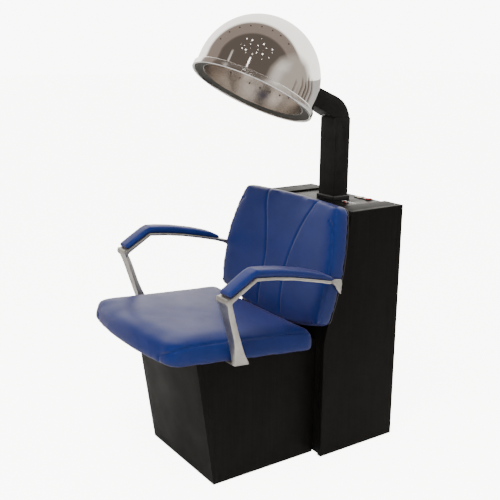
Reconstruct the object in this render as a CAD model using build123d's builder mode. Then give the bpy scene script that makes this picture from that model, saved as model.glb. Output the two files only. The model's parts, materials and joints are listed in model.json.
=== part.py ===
from build123d import *
import os
from math import cos, radians, sin, tan

os.makedirs("parts", exist_ok=True)

# ---------------------------------------------------------------- driving dimensions (mm)
# +X is the sitter's left, -Y is the front of the chair, +Z is up, z = 0 is the floor.
CAB_W = 482            # cabinet width
CAB_H = 820            # cabinet height
CAB_FRONT = 136        # lower front plane of the cabinet
CAB_REAR = 452         # rear edge of the side panels
CAB_KNEE = 403         # height where the cabinet front starts to lean back
PANEL = 18             # laminated board thickness
THIN = 16              # front board thickness
FLOOR_GAP = 2          # gap under the boards, taken up by the glides
LEAN = 13.0            # backrest and upper cabinet lean, degrees
BASE_W = 392           # seat base width
BASE_TOE = -251        # front of the base at the floor
BASE_LEAN = 8.0        # lean of the base front, degrees
SEAT_TILT = 4.6        # seat rise towards the front, degrees
SEAT_REAR = (60, 410)  # rear lower edge of the seat cushion (y, z)
SEAT_THICK = 66        # seat cushion thickness
SEAT_LONG = 524        # seat cushion depth on its centre line
BACK_FOOT = (78, 494)  # chord of the bowed backrest front at its lower corners (y, z)
BACK_BOW = 10          # how far the backrest front bows ahead of that chord
BACK_DISH = 20         # how far its middle lies behind its side edges
BACK_WRAP = 2120       # plan radius of the dished front
BACK_THICK = 50.7      # back cushion thickness at its ends
BOARD = 12             # plywood inside seat and back
TRAY_HALF = 155        # half width of the control tray
TRAY_TOP = 815         # control tray surface
POST_W = 82            # post width
POST_Y = (323, 386)    # post front and rear faces
POST_TOP = 1091        # top of the post
POST_FOOT = 772        # lower end of the post inside the cabinet
SHEET = 2.5            # post and arm steel gauge
PIVOT = (354.5, 1060)  # hood tilt pivot (y, z)
PIN_R = 6              # tilt pin radius
RUN_FIT = 0.05         # radial clearance of the running fits
HOOD_C = (0, 12, 1180) # centre of the rim plane
HOOD_TILT = 28.7       # lean of the hood axis, degrees
DOME_R = 195.2         # outer dome radius
DOME_RISE = 47         # height of the dome centre above the rim plane
RIM_R = 201.7          # outer radius of the rolled rim
BOWL_R = 168           # perforated inner bowl radius
BLOWER = (288, 503)    # blower axis (y, z)

# ---------------------------------------------------------------- reference planes
seat_plane = Plane(
    origin=(0, SEAT_REAR[0], SEAT_REAR[1]),
    x_dir=(1, 0, 0),
    z_dir=(0, sin(radians(SEAT_TILT)), cos(radians(SEAT_TILT))),
)
back_plane = Plane(
    origin=(0, BACK_FOOT[0], BACK_FOOT[1]),
    x_dir=(1, 0, 0),
    z_dir=(0, -cos(radians(LEAN)), sin(radians(LEAN))),
)
back_rear = back_plane.offset(-BACK_THICK)
hood_plane = Plane(
    origin=HOOD_C,
    x_dir=(1, 0, 0),
    z_dir=(0, -cos(radians(HOOD_TILT)), sin(radians(HOOD_TILT))),
)
hood_base = Plane(
    origin=HOOD_C,
    x_dir=(1, 0, 0),
    z_dir=(0, sin(radians(HOOD_TILT)), cos(radians(HOOD_TILT))),
)
hood_axis = Axis(HOOD_C, (0, sin(radians(HOOD_TILT)), cos(radians(HOOD_TILT))))
dome_plane = hood_base.offset(DOME_RISE)


def seat_z(y):
    """Height of the seat plane above the floor at depth y."""
    return SEAT_REAR[1] + tan(radians(SEAT_TILT)) * (SEAT_REAR[0] - y)


def slant_y(z):
    """Depth of the cabinet's leaning front edge at height z."""
    return CAB_FRONT + tan(radians(LEAN)) * (z - CAB_KNEE)


def save(name, builder):
    """Label a finished sub-part and write its STEP file."""
    builder.part.label = name
    export_step(builder.part, "parts/" + name + ".step")


# ---------------------------------------------------------------- cabinet boards
side_points = [
    (CAB_FRONT, FLOOR_GAP),
    (CAB_FRONT, CAB_KNEE),
    (slant_y(CAB_H), CAB_H),
    (CAB_REAR, CAB_H),
    (CAB_REAR, FLOOR_GAP),
]
INNER = CAB_W / 2 - PANEL   # inner face of the side panels

# rear service panel screw pattern, shared by the side panels
REAR_SCREW_Z = (60, 240, 420, 600, 770)
rear_screw_points = [(s * (CAB_W / 2 - PANEL / 2), z) for s in (-1, 1) for z in REAR_SCREW_Z]
rear_face = Plane(origin=(0, CAB_REAR, 0), x_dir=(1, 0, 0), z_dir=(0, -1, 0))

with BuildPart() as side_panel_left:
    with BuildSketch(Plane.YZ.offset(INNER)):
        with BuildLine():
            Polyline(*side_points, close=True)
        make_face()
    extrude(amount=PANEL)
    fillet(side_panel_left.faces().sort_by(Axis.X)[-1].edges(), 1)
    with BuildSketch(rear_face):
        with Locations(*rear_screw_points):
            Circle(2.05)
    extrude(amount=22, mode=Mode.SUBTRACT)
save("side_panel_left", side_panel_left)

with BuildPart() as side_panel_right:
    mirror(side_panel_left.part, about=Plane.YZ)
save("side_panel_right", side_panel_right)

with BuildPart() as front_panel:
    with BuildSketch(Plane.YZ.offset(-INNER)):
        with BuildLine():
            Polyline(
                (CAB_FRONT + 2, FLOOR_GAP + 4),
                (CAB_FRONT + 2, CAB_KNEE - 0.7),
                (CAB_FRONT + 2 + THIN, CAB_KNEE - 4.5),
                (CAB_FRONT + 2 + THIN, FLOOR_GAP + 4),
                close=True,
            )
        make_face()
    extrude(amount=2 * INNER)
save("front_panel", front_panel)

slant_plane = Plane(
    origin=(0, CAB_FRONT, CAB_KNEE),
    x_dir=(1, 0, 0),
    z_dir=(0, cos(radians(LEAN)), -sin(radians(LEAN))),
)
with BuildPart() as slant_panel:
    with BuildSketch(slant_plane.offset(2)):
        with Locations((0, -203.5)):
            Rectangle(2 * INNER, 407)
    extrude(amount=THIN)
    fillet(slant_panel.edges().filter_by(Axis.X).group_by(Axis.Z)[-1], 1)
save("slant_panel", slant_panel)

with BuildPart() as cabinet_bottom:
    with BuildSketch(Plane.XY.offset(FLOOR_GAP + 4)):
        with Locations((0, (CAB_FRONT + 2 + THIN + CAB_REAR) / 2)):
            Rectangle(2 * INNER, CAB_REAR - CAB_FRONT - 2 - THIN)
    extrude(amount=PANEL)
    with BuildSketch(Plane.XY.offset(FLOOR_GAP + 4)):
        with Locations(*[(sx * 195, y) for sx in (-1, 1) for y in (185, 420)]):
            Circle(4.05)
    extrude(amount=PANEL, mode=Mode.SUBTRACT)
save("cabinet_bottom", cabinet_bottom)

SHELF_TOP = BLOWER[1] - 98
with BuildPart() as blower_shelf:
    with BuildSketch(Plane.XY.offset(SHELF_TOP - PANEL)):
        with Locations((0, (160 + CAB_REAR) / 2)):
            Rectangle(2 * INNER, CAB_REAR - 160)
    extrude(amount=PANEL)
    with BuildSketch(Plane.XY.offset(SHELF_TOP - PANEL)):
        with Locations(*[(sx * 150, y) for sx in (-1, 1) for y in (220, 300, 380)]):
            SlotOverall(60, 24)
    extrude(amount=PANEL, mode=Mode.SUBTRACT)
save("blower_shelf", blower_shelf)

with BuildPart() as cheek_left:
    with BuildSketch(Plane.YZ.offset(TRAY_HALF)):
        with BuildLine():
            Polyline(
                (slant_y(CAB_H - PANEL), CAB_H - PANEL),
                (slant_y(CAB_H), CAB_H),
                (CAB_REAR, CAB_H),
                (CAB_REAR, CAB_H - PANEL),
                close=True,
            )
        make_face()
    extrude(amount=INNER - TRAY_HALF)
    fillet(cheek_left.edges().filter_by(Axis.Y).sort_by(Axis.X)[0:2].sort_by(Axis.Z)[-1], 1.5)
save("cheek_left", cheek_left)

with BuildPart() as cheek_right:
    mirror(cheek_left.part, about=Plane.YZ)
save("cheek_right", cheek_right)

# ---------------------------------------------------------------- rear service panel
REAR_T = 2
INLET = (150, 110)     # mains inlet centre (x, z)
INLET_OUT = 7.2        # how far the inlet stands out of the rear panel
with BuildPart() as rear_panel:
    with BuildSketch(rear_face):
        with Locations((0, 410)):
            RectangleRounded(CAB_W - 8, 776, 4)
    extrude(amount=-REAR_T)
    with BuildSketch(rear_face):
        with Locations((0, 520), (0, 260)):
            with GridLocations(150, 16, 2, 8):
                SlotOverall(110, 6)
        with Locations(INLET):
            Rectangle(28, 20)
        with Locations(*rear_screw_points):
            Circle(2.05)
    extrude(amount=-REAR_T, mode=Mode.SUBTRACT)
save("rear_panel", rear_panel)

with BuildPart() as rear_panel_screws:
    with BuildSketch(rear_face.offset(-REAR_T)):
        with Locations(*rear_screw_points):
            Circle(4)
    extrude(amount=-2.4)
    fillet(rear_panel_screws.faces().group_by(Axis.Y)[-1].edges(), 1.4)
    with BuildSketch(rear_face.offset(-REAR_T)):
        with Locations(*rear_screw_points):
            Circle(2)
    extrude(amount=20)
    with BuildSketch(rear_face.offset(-REAR_T - 2.4)):
        with Locations(*rear_screw_points):
            Rectangle(3.6, 0.9)
            Rectangle(0.9, 3.6)
    extrude(amount=1.2, mode=Mode.SUBTRACT)
save("rear_panel_screws", rear_panel_screws)

with BuildPart() as power_inlet:
    with BuildSketch(rear_face):
        with Locations(INLET):
            Rectangle(27.6, 19.6)
    extrude(amount=22)
    with BuildSketch(rear_face):
        with Locations(INLET):
            Rectangle(27.6, 19.6)
    extrude(amount=-REAR_T)
    with BuildSketch(rear_face.offset(-REAR_T)):
        with Locations(INLET):
            RectangleRounded(48, 30, 5)
    extrude(amount=-INLET_OUT)
    with BuildSketch(rear_face.offset(-REAR_T - INLET_OUT)):
        with Locations(INLET):
            RectangleRounded(24, 16, 3)
    extrude(amount=18, mode=Mode.SUBTRACT)
    with BuildSketch(rear_face.offset(9)):
        with Locations(INLET):
            with Locations((-7, -1.5), (0, 2.5), (7, -1.5)):
                Rectangle(2, 4)
    extrude(amount=-8)
save("power_inlet", power_inlet)

# ---------------------------------------------------------------- floor glides
glide_points = [(sx * 195, y) for sx in (-1, 1) for y in (185, 420)]
base_glide_points = [(sx * 160, y) for sx in (-1, 1) for y in (-200, 90)]
with BuildPart() as floor_glides:
    with BuildSketch(Plane.XY):
        with Locations(*glide_points, *base_glide_points):
            Circle(15)
    extrude(amount=FLOOR_GAP)
    fillet(floor_glides.faces().group_by(Axis.Z)[0].edges(), 0.8)
    with BuildSketch(Plane.XY.offset(FLOOR_GAP)):
        with Locations(*glide_points, *base_glide_points):
            Circle(4)
    extrude(amount=16)
save("floor_glides", floor_glides)

# ---------------------------------------------------------------- chair base
LEAN_RUN = tan(radians(BASE_LEAN))
FACE = PANEL / cos(radians(BASE_LEAN))
DROP = PANEL / cos(radians(SEAT_TILT))


def base_front_y(z):
    """Depth of the outer face of the leaning base front at height z."""
    return BASE_TOE - LEAN_RUN * (z - FLOOR_GAP)


def deck_under(y):
    """Height of the underside of the sloping deck at depth y."""
    return seat_z(y) - DROP


top_z = deck_under(base_front_y(418))
with BuildPart() as base_front:
    with BuildSketch(Plane.YZ.offset(-BASE_W / 2)):
        with BuildLine():
            Polyline(
                (base_front_y(FLOOR_GAP), FLOOR_GAP),
                (base_front_y(FLOOR_GAP) + FACE, FLOOR_GAP),
                (base_front_y(top_z - 1.5) + FACE, deck_under(base_front_y(top_z - 1.5) + FACE)),
                (base_front_y(top_z), top_z),
                close=True,
            )
        make_face()
    extrude(amount=BASE_W)
    fillet(base_front.edges().filter_by(GeomType.LINE).group_by(Axis.Y)[0], 1)
save("base_front", base_front)

with BuildPart() as base_side_left:
    with BuildSketch(Plane.YZ.offset(BASE_W / 2 - PANEL)):
        with BuildLine():
            Polyline(
                (base_front_y(FLOOR_GAP) + FACE, FLOOR_GAP),
                (base_front_y(top_z - 1.5) + FACE, deck_under(base_front_y(top_z - 1.5) + FACE)),
                (CAB_FRONT, deck_under(CAB_FRONT)),
                (CAB_FRONT, FLOOR_GAP),
                close=True,
            )
        make_face()
    extrude(amount=PANEL)
save("base_side_left", base_side_left)

with BuildPart() as base_side_right:
    mirror(base_side_left.part, about=Plane.YZ)
save("base_side_right", base_side_right)

# one floor rail under each side of the base carries its glides
with BuildPart() as base_rail:
    with BuildSketch(Plane.XY.offset(FLOOR_GAP)):
        with Locations((0, -60)):
            Rectangle(BASE_W - 2 * PANEL, 320)
        with Locations((0, -60)):
            Rectangle(BASE_W - 2 * PANEL - 90, 230, mode=Mode.SUBTRACT)
        with Locations(*base_glide_points):
            Circle(4.05, mode=Mode.SUBTRACT)
    extrude(amount=PANEL)
save("base_rail", base_rail)

BRACKET_W = 70
BRACKET_T = 6
seat_screw_points = [(sx * 150, v) for sx in (-1, 1) for v in (-300, -90)]
with BuildPart() as base_deck:
    with BuildSketch(seat_plane):
        with Locations((0, (CAB_FRONT - 48 - 357) / 2)):
            Rectangle(BASE_W, CAB_FRONT - 48 + 357)
    extrude(amount=-PANEL)
    with BuildSketch(seat_plane):
        with Locations((0, -38)):
            Rectangle(BRACKET_W + 1, 240)
    extrude(amount=-10, mode=Mode.SUBTRACT)
    with BuildSketch(seat_plane):
        with Locations(*seat_screw_points):
            Circle(3.05)
    extrude(amount=-PANEL, mode=Mode.SUBTRACT)
    split(bisect_by=Plane.XZ.offset(-CAB_FRONT), keep=Keep.TOP)
save("base_deck", base_deck)

# ---------------------------------------------------------------- seat
def seat_profile(plane, inset):
    """Seat outline drawn on a plane, shrunk by an even inset."""
    with BuildSketch(plane) as profile:
        with BuildLine():
            Polyline((-269, -494), (-293, 0), (293, 0), (269, -494))
            ThreePointArc((269, -494), (0, -SEAT_LONG), (-269, -494))
        make_face()
        fillet(profile.vertices().group_by(Axis.Y)[0], 52)
        fillet(profile.vertices().group_by(Axis.Y)[-1], 26)
        if inset:
            offset(amount=-inset, mode=Mode.REPLACE)
    return profile.sketch


arm_foot_points = [(sx * x, v) for sx in (-1, 1) for x in (232, 250) for v in (-260, -294)]
bracket_seat_points = [(sx * 18, v) for sx in (-1, 1) for v in (-40, -110)]
with BuildPart() as seat_board:
    extrude(seat_profile(seat_plane, 18), amount=BOARD)
    with BuildSketch(seat_plane):
        with Locations(*seat_screw_points):
            Circle(3.05)
        with Locations(*arm_foot_points, *bracket_seat_points):
            Circle(2.55)
    extrude(amount=BOARD, mode=Mode.SUBTRACT)
save("seat_board", seat_board)

with BuildPart() as seat_cushion:
    extrude(seat_profile(seat_plane, 0), amount=SEAT_THICK)
    fillet(seat_cushion.faces().sort_by(Axis.Z)[-1].edges(), 20)
    fillet(seat_cushion.faces().sort_by(Axis.Z)[0].edges(), 14)
    extrude(seat_profile(seat_plane, 18), amount=BOARD, mode=Mode.SUBTRACT)
save("seat_cushion", seat_cushion)

with BuildPart() as seat_screws:
    with BuildSketch(seat_plane.offset(-PANEL)):
        with Locations(*seat_screw_points):
            Circle(6)
    extrude(amount=-4)
    with BuildSketch(seat_plane.offset(-PANEL)):
        with Locations(*seat_screw_points):
            Circle(3)
    extrude(amount=PANEL + 11)
save("seat_screws", seat_screws)

# ---------------------------------------------------------------- backrest
def back_profile(plane, inset):
    """Backrest outline drawn on a plane, shrunk by an even inset."""
    with BuildSketch(plane) as profile:
        with BuildLine():
            ThreePointArc((-281, -8), (0, -57), (281, -8))
            Polyline((281, -8), (288, 60), (293, 158))
            ThreePointArc((293, 158), (280, 262), (252, 363))
            ThreePointArc((252, 363), (0, 371), (-252, 363))
            ThreePointArc((-252, 363), (-280, 262), (-293, 158))
            Polyline((-293, 158), (-288, 60), (-281, -8))
        make_face()
        fillet(profile.vertices().group_by(Axis.Z)[-1], 28)
        fillet(profile.vertices().group_by(Axis.Z)[0], 24)
        if inset:
            offset(amount=-inset, mode=Mode.REPLACE)
    return profile.sketch


bracket_back_points = [(sx * 18, v) for sx in (-1, 1) for v in (20, 70, 120)]
side_axis_plane = Plane(
    origin=(0, BACK_FOOT[0], BACK_FOOT[1]),
    x_dir=(0, cos(radians(LEAN)), -sin(radians(LEAN))),
    z_dir=(1, 0, 0),
)
# the dished front is turned about a far axis ahead of the sitter, parallel to the backrest
wrap_axis = Axis(
    (0, BACK_FOOT[0] - BACK_WRAP * cos(radians(LEAN)), BACK_FOOT[1] + BACK_WRAP * sin(radians(LEAN))),
    (0, sin(radians(LEAN)), cos(radians(LEAN))),
)
# screws of the arm end plates run along X into the edge of the back board
arm_back_holes = [(BACK_THICK - 7.2, 106), (BACK_THICK - 8.2, 126)]
with BuildPart() as back_board:
    extrude(back_profile(back_rear, 15), amount=BOARD)
    with BuildSketch(back_rear):
        with Locations(*bracket_back_points):
            Circle(2.55)
    extrude(amount=BOARD, mode=Mode.SUBTRACT)
    with BuildSketch(side_axis_plane.offset(-300)):
        with Locations(*arm_back_holes):
            Circle(2.05)
    extrude(amount=600, mode=Mode.SUBTRACT)
save("back_board", back_board)

with BuildPart() as back_cushion:
    extrude(back_profile(back_plane.offset(BACK_BOW), 0), amount=-BACK_THICK - BACK_BOW)
    with BuildSketch(side_axis_plane):
        with BuildLine():
            ThreePointArc((BACK_DISH, -90), (BACK_DISH - BACK_BOW, 145), (BACK_DISH, 400))
            Polyline((BACK_DISH, 400), (-50, 400), (-50, -90), (BACK_DISH, -90))
        make_face()
    revolve(axis=wrap_axis, mode=Mode.SUBTRACT)
    extrude(back_profile(back_rear, 15), amount=BOARD, mode=Mode.SUBTRACT)
    with BuildSketch(side_axis_plane.offset(-300)):
        with Locations(*arm_back_holes):
            Circle(2.3)
    extrude(amount=600, mode=Mode.SUBTRACT)
save("back_cushion", back_cushion)

SHELL_T = 3
with BuildPart() as back_shell:
    extrude(back_profile(back_rear, 5), amount=-SHELL_T)
    with BuildSketch(back_rear):
        with Locations(*bracket_back_points):
            Circle(2.55)
    extrude(amount=-SHELL_T, mode=Mode.SUBTRACT)
save("back_shell", back_shell)

# ---------------------------------------------------------------- steel link between seat and back
HALF_SHELL = BACK_THICK + SHELL_T
LEAN_TAN = tan(radians(LEAN))
TILT_TAN = tan(radians(SEAT_TILT))
link_top_z = 640


def link_y(z, gap):
    """Depth of the link's upright at height z, measured gap behind the back shell."""
    return BACK_FOOT[0] + (HALF_SHELL + gap) / cos(radians(LEAN)) + LEAN_TAN * (z - BACK_FOOT[1])


def link_low(y, gap):
    """Height of the link's lower leg at depth y, measured gap below the seat board."""
    return seat_z(y) - gap / cos(radians(SEAT_TILT))


def link_bend(gap):
    """Corner where the upright meets the lower leg, gap away from the boards."""
    y = link_y(link_low(0, gap), gap) / (1 + LEAN_TAN * TILT_TAN)
    return (y, link_low(y, gap))


link_screw_back = back_plane.offset(-HALF_SHELL - BRACKET_T)
link_screw_seat = seat_plane.offset(-BRACKET_T)
with BuildPart() as back_bracket:
    with BuildSketch(Plane.YZ.offset(-BRACKET_W / 2)):
        with BuildLine():
            Polyline(
                (-92, link_low(-92, 0)),
                link_bend(0),
                (link_y(link_top_z, 0), link_top_z),
                (link_y(link_top_z, BRACKET_T), link_top_z),
                link_bend(BRACKET_T),
                (-92, link_low(-92, BRACKET_T)),
                close=True,
            )
        make_face()
    extrude(amount=BRACKET_W)
    with BuildSketch(link_screw_back):
        with Locations(*bracket_back_points):
            Circle(2.55)
    extrude(amount=BRACKET_T + 1, mode=Mode.SUBTRACT)
    with BuildSketch(link_screw_seat):
        with Locations(*bracket_seat_points):
            Circle(2.55)
    extrude(amount=BRACKET_T + 1, mode=Mode.SUBTRACT)
save("back_bracket", back_bracket)

with BuildPart() as bracket_screws:
    with BuildSketch(link_screw_back):
        with Locations(*bracket_back_points):
            Circle(4.5)
    extrude(amount=-2.6)
    with BuildSketch(link_screw_back):
        with Locations(*bracket_back_points):
            Circle(2.5)
    extrude(amount=BRACKET_T + SHELL_T + BOARD - 1)
    with BuildSketch(link_screw_seat):
        with Locations(*bracket_seat_points):
            Circle(4.5)
    extrude(amount=-2.6)
    with BuildSketch(link_screw_seat):
        with Locations(*bracket_seat_points):
            Circle(2.5)
    extrude(amount=BRACKET_T + BOARD - 1)
save("bracket_screws", bracket_screws)

# ---------------------------------------------------------------- armrests
ARM_IN = 289           # inner face of the armrest
ARM_OUT = 350          # outer face of the armrest
rail_top = [(-301, 641), (-298, 653), (-289, 652), (-204, 700), (-141, 693), (-71, 681), (3, 664), (60, 650)]
rail_under = [(60, 640), (3, 655), (-71, 672), (-141, 684), (-200, 690), (-282, 640), (-287, 632), (-297, 630)]
# leg sections: height, inner and outer x, front and rear y, how much narrower the rear edge is
LEG = (
    (641, 289, 350, -299, -284, 14),
    (600, 288, 336, -285, -266, 14),
    (548, 287, 331, -270, -250, 13),
    (500, 286, 324, -257, -232, 11),
    (462, 285, 312, -249, -213, 6),
    (434, 284, 303, -243, -194, 3),
)
neck = [(107, 637), (148, 629), (152, 614), (147, 580), (136, 592), (122, 612), (100, 626)]

with BuildPart() as arm_left:
    # rail and neck: side profile trimmed by the plan profile
    with BuildSketch(Plane.YZ.offset(280)):
        with BuildLine():
            Polyline(*rail_top, *neck, *rail_under, close=True)
        make_face()
    extrude(amount=80)
    with BuildSketch(Plane.XY.offset(570)):
        with BuildLine():
            Polyline(
                (ARM_IN, -302),
                (ARM_IN, 62),
                (293.2, 112),
                (293.2, 155),
                (300, 155),
                (302, 128),
                (320, 96),
                (ARM_OUT, 62),
                (ARM_OUT, -302),
                close=True,
            )
        make_face()
    extrude(amount=150, mode=Mode.INTERSECT)
    with BuildSketch(side_axis_plane.offset(290)):
        with Locations(*arm_back_holes):
            Circle(2.05)
    extrude(amount=20, mode=Mode.SUBTRACT)
    # leg: broad and thin under the knuckle, turning to a deep thin foot beside the seat
    for z, x0, x1, y0, y1, wedge in LEG:
        with BuildSketch(Plane.XY.offset(z)):
            with BuildLine():
                Polyline((x0, y0), (x1, y0), (x1, y1), (x0 + wedge, y1), close=True)
            make_face()
    loft()
    # flange turned in under the seat
    with BuildSketch(seat_plane):
        with Locations((262, -278)):
            RectangleRounded(76, 54, 6)
        with Locations(*arm_foot_points[2 * 2:]):
            Circle(2.55, mode=Mode.SUBTRACT)
    extrude(amount=-5)
save("arm_left", arm_left)

with BuildPart() as arm_right:
    mirror(arm_left.part, about=Plane.YZ)
save("arm_right", arm_right)

pad_under = [(-289, 652), (-204, 700), (-141, 693), (-71, 681), (3, 664), (60, 650), (78, 645.2)]
pad_over = [(80, 655), (45, 673), (-19, 692), (-107, 711), (-160, 718), (-196, 721), (-214, 714), (-292, 667)]
with BuildPart() as arm_pad_left:
    with BuildSketch(Plane.YZ.offset(ARM_IN + 1.5)):
        with BuildLine():
            Polyline(*pad_under, *pad_over, close=True)
        make_face()
    extrude(amount=ARM_OUT - ARM_IN - 3)
    fillet(arm_pad_left.faces().filter_by(lambda f: f.normal_at().Z > 0.3).edges().filter_by(
        lambda e: e.center().X < ARM_IN + 3 or e.center().X > ARM_OUT - 3), 8)
save("arm_pad_left", arm_pad_left)

with BuildPart() as arm_pad_right:
    mirror(arm_pad_left.part, about=Plane.YZ)
save("arm_pad_right", arm_pad_right)

with BuildPart() as arm_screws:
    with BuildSketch(seat_plane.offset(-5)):
        with Locations(*arm_foot_points):
            Circle(4.5)
    extrude(amount=-2.6)
    with BuildSketch(seat_plane.offset(-5)):
        with Locations(*arm_foot_points):
            Circle(2.5)
    extrude(amount=5 + BOARD - 1)
    for inner_end in (-299, 262):
        with BuildSketch(side_axis_plane.offset(inner_end)):
            with Locations(*arm_back_holes):
                Circle(2)
        extrude(amount=37)
save("arm_screws", arm_screws)

# ---------------------------------------------------------------- control tray
SWITCHES = {"heat": (50, 434), "power": (88, 434)}
SWITCH_CUT = (28, 22)
TIMER = (-95, 426)
RESET = (95, 330)
post_mid = (0, (POST_Y[0] + POST_Y[1]) / 2)
POST_D = POST_Y[1] - POST_Y[0]
tray_front = slant_y(TRAY_TOP - 3) + 1
with BuildPart() as control_tray:
    with BuildSketch(Plane.XY.offset(TRAY_TOP - 14)):
        with Locations((0, (tray_front + CAB_REAR) / 2)):
            Rectangle(2 * TRAY_HALF - 0.4, CAB_REAR - tray_front)
    extrude(amount=14)
    with BuildSketch(Plane.XY.offset(TRAY_TOP - 14)):
        with Locations((0, (tray_front + CAB_REAR) / 2)):
            Rectangle(2 * TRAY_HALF - 6.4, CAB_REAR - tray_front - 6)
    extrude(amount=11, mode=Mode.SUBTRACT)
    with BuildSketch(Plane.XY.offset(TRAY_TOP)):
        with Locations(post_mid):
            Rectangle(POST_W + 1, POST_D + 1)
        with Locations(*SWITCHES.values()):
            Rectangle(*SWITCH_CUT)
        with Locations(TIMER):
            Circle(6.1)
        with Locations(RESET):
            Circle(6.1)
    extrude(amount=-5, mode=Mode.SUBTRACT)
save("control_tray", control_tray)

with BuildPart() as post_collar:
    with BuildSketch(Plane.XY.offset(TRAY_TOP)):
        with Locations(post_mid):
            RectangleRounded(POST_W + 11, POST_D + 11, 5)
            Rectangle(POST_W + 0.2, POST_D + 0.2, mode=Mode.SUBTRACT)
    extrude(amount=14)
    chamfer(post_collar.faces().sort_by(Axis.Z)[-1].outer_wire().edges(), 3)
save("post_collar", post_collar)

# ---------------------------------------------------------------- post and its seat in the cabinet
FRAME_Z = 790
post_bolt_points = [(sx * 53, y) for sx in (-1, 1) for y in (332, 377)]
with BuildPart() as top_frame:
    with BuildSketch(Plane.XY.offset(FRAME_Z)):
        with Locations(post_mid):
            Rectangle(2 * INNER, 88)
            Rectangle(POST_W + 0.4, POST_D + 0.4, mode=Mode.SUBTRACT)
        with Locations(*post_bolt_points):
            Circle(3.05, mode=Mode.SUBTRACT)
    extrude(amount=4)
    with BuildSketch(Plane.XY.offset(FRAME_Z - 30)):
        with Locations((INNER - 2, post_mid[1]), (2 - INNER, post_mid[1])):
            Rectangle(4, 88)
    extrude(amount=30)
save("top_frame", top_frame)

NOTCH_Z = PIVOT[1] - 32
with BuildPart() as post:
    with BuildSketch(Plane.XY.offset(POST_FOOT)):
        with Locations(post_mid):
            RectangleRounded(POST_W, POST_D, 3)
            Rectangle(POST_W - 2 * SHEET, POST_D - 2 * SHEET, mode=Mode.SUBTRACT)
    extrude(amount=POST_TOP - POST_FOOT)
    with BuildSketch(Plane.XY.offset(FRAME_Z + 4)):
        with Locations(post_mid):
            Rectangle(126, 84)
            Rectangle(POST_W - 2 * SHEET, POST_D - 2 * SHEET, mode=Mode.SUBTRACT)
        with Locations(*post_bolt_points):
            Circle(3.05, mode=Mode.SUBTRACT)
    extrude(amount=4)
    # the rear wall is cut down so the arm's heel can swing out
    with BuildSketch(Plane.XZ.offset(-POST_Y[0] - 20)):
        with Locations((0, (NOTCH_Z + POST_TOP + 10) / 2)):
            Rectangle(POST_W - 2 * SHEET, POST_TOP + 10 - NOTCH_Z)
    extrude(amount=-60, mode=Mode.SUBTRACT)
    with BuildSketch(Plane.YZ.offset(-60)):
        with Locations(PIVOT):
            Circle(PIN_R)
    extrude(amount=120, mode=Mode.SUBTRACT)
save("post", post)

with BuildPart() as post_bolts:
    with BuildSketch(Plane.XY.offset(FRAME_Z + 8)):
        with Locations(*post_bolt_points):
            RegularPolygon(5.5, 6)
    extrude(amount=4)
    with BuildSketch(Plane.XY.offset(FRAME_Z - 8)):
        with Locations(*post_bolt_points):
            Circle(3)
    extrude(amount=16)
    with BuildSketch(Plane.XY.offset(FRAME_Z - 5)):
        with Locations(*post_bolt_points):
            RegularPolygon(5.5, 6)
    extrude(amount=5)
save("post_bolts", post_bolts)

# ---------------------------------------------------------------- tilting arm
ARM_HALF = POST_W / 2 - SHEET - 0.5
heel_r = 27.5
arm_outer = [
    (382, PIVOT[1]),
    (382, 1100),
    (370, 1126),
    (352, 1146),
    (327, 1161),
    (252, 1192),
    (170, 1227),
    (170, 1159),
    (232, 1134),
    (290, 1109),
    (318, 1093.5),
    (327, 1092),
    (327, PIVOT[1]),
]
arm_inner = [
    (382 - SHEET, PIVOT[1] - 40),
    (382 - SHEET, 1099.5),
    (368, 1124),
    (350.5, 1144),
    (326, 1158.5),
    (251, 1189.3),
    (165, 1226),
    (165, 1164),
    (233, 1136.6),
    (291, 1111.6),
    (319, 1096),
    (327 + SHEET, 1094),
    (327 + SHEET, PIVOT[1] - 40),
]
# screw in the underside of the arm just ahead of the post
stop_plane = Plane(origin=(0, 304, 1101.25), x_dir=(1, 0, 0), z_dir=(0, -15.5, -28))
dome_centre = dome_plane.origin
dome_end = Pos(*dome_centre) * Sphere(185)
with BuildPart() as tilt_arm:
    with BuildSketch(Plane.YZ.offset(-ARM_HALF)):
        with BuildLine():
            Polyline(*arm_outer, close=True)
        make_face()
        with Locations(PIVOT):
            Circle(heel_r)
    extrude(amount=2 * ARM_HALF)
    fillet(
        tilt_arm.edges().filter_by(Axis.X).filter_by_position(Axis.Z, 1098, 1200)
        .filter_by_position(Axis.Y, 320, 385),
        8,
    )
    with BuildSketch(Plane.YZ.offset(-ARM_HALF + SHEET)):
        with BuildLine():
            Polyline(*arm_inner, close=True)
        make_face()
    extrude(amount=2 * (ARM_HALF - SHEET), mode=Mode.SUBTRACT)
    # bearing bosses around the tilt pin
    with BuildSketch(Plane.YZ.offset(-ARM_HALF)):
        with Locations(PIVOT):
            Circle(14)
    extrude(amount=8)
    with BuildSketch(Plane.YZ.offset(ARM_HALF - 8)):
        with Locations(PIVOT):
            Circle(14)
    extrude(amount=8)
    with BuildSketch(Plane.YZ.offset(-60)):
        with Locations(PIVOT):
            Circle(PIN_R + RUN_FIT)
    extrude(amount=120, mode=Mode.SUBTRACT)
    with BuildSketch(stop_plane):
        Circle(2.55)
    extrude(amount=-7, mode=Mode.SUBTRACT)
    add(dome_end, mode=Mode.SUBTRACT)
save("tilt_arm", tilt_arm)

with BuildPart() as tilt_pin:
    with BuildSketch(Plane.YZ.offset(1 - POST_W / 2)):
        with Locations(PIVOT):
            Circle(PIN_R)
    extrude(amount=POST_W - 2)
    chamfer(tilt_pin.edges().filter_by(GeomType.CIRCLE), 0.6)
save("tilt_pin", tilt_pin)

with BuildPart() as stop_screw:
    with BuildSketch(stop_plane):
        Circle(4.5)
    extrude(amount=2.6)
    fillet(stop_screw.faces().sort_by(Axis.Z)[0].edges(), 1.5)
    with BuildSketch(stop_plane):
        Circle(2.5)
    extrude(amount=-7)
save("stop_screw", stop_screw)

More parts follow.
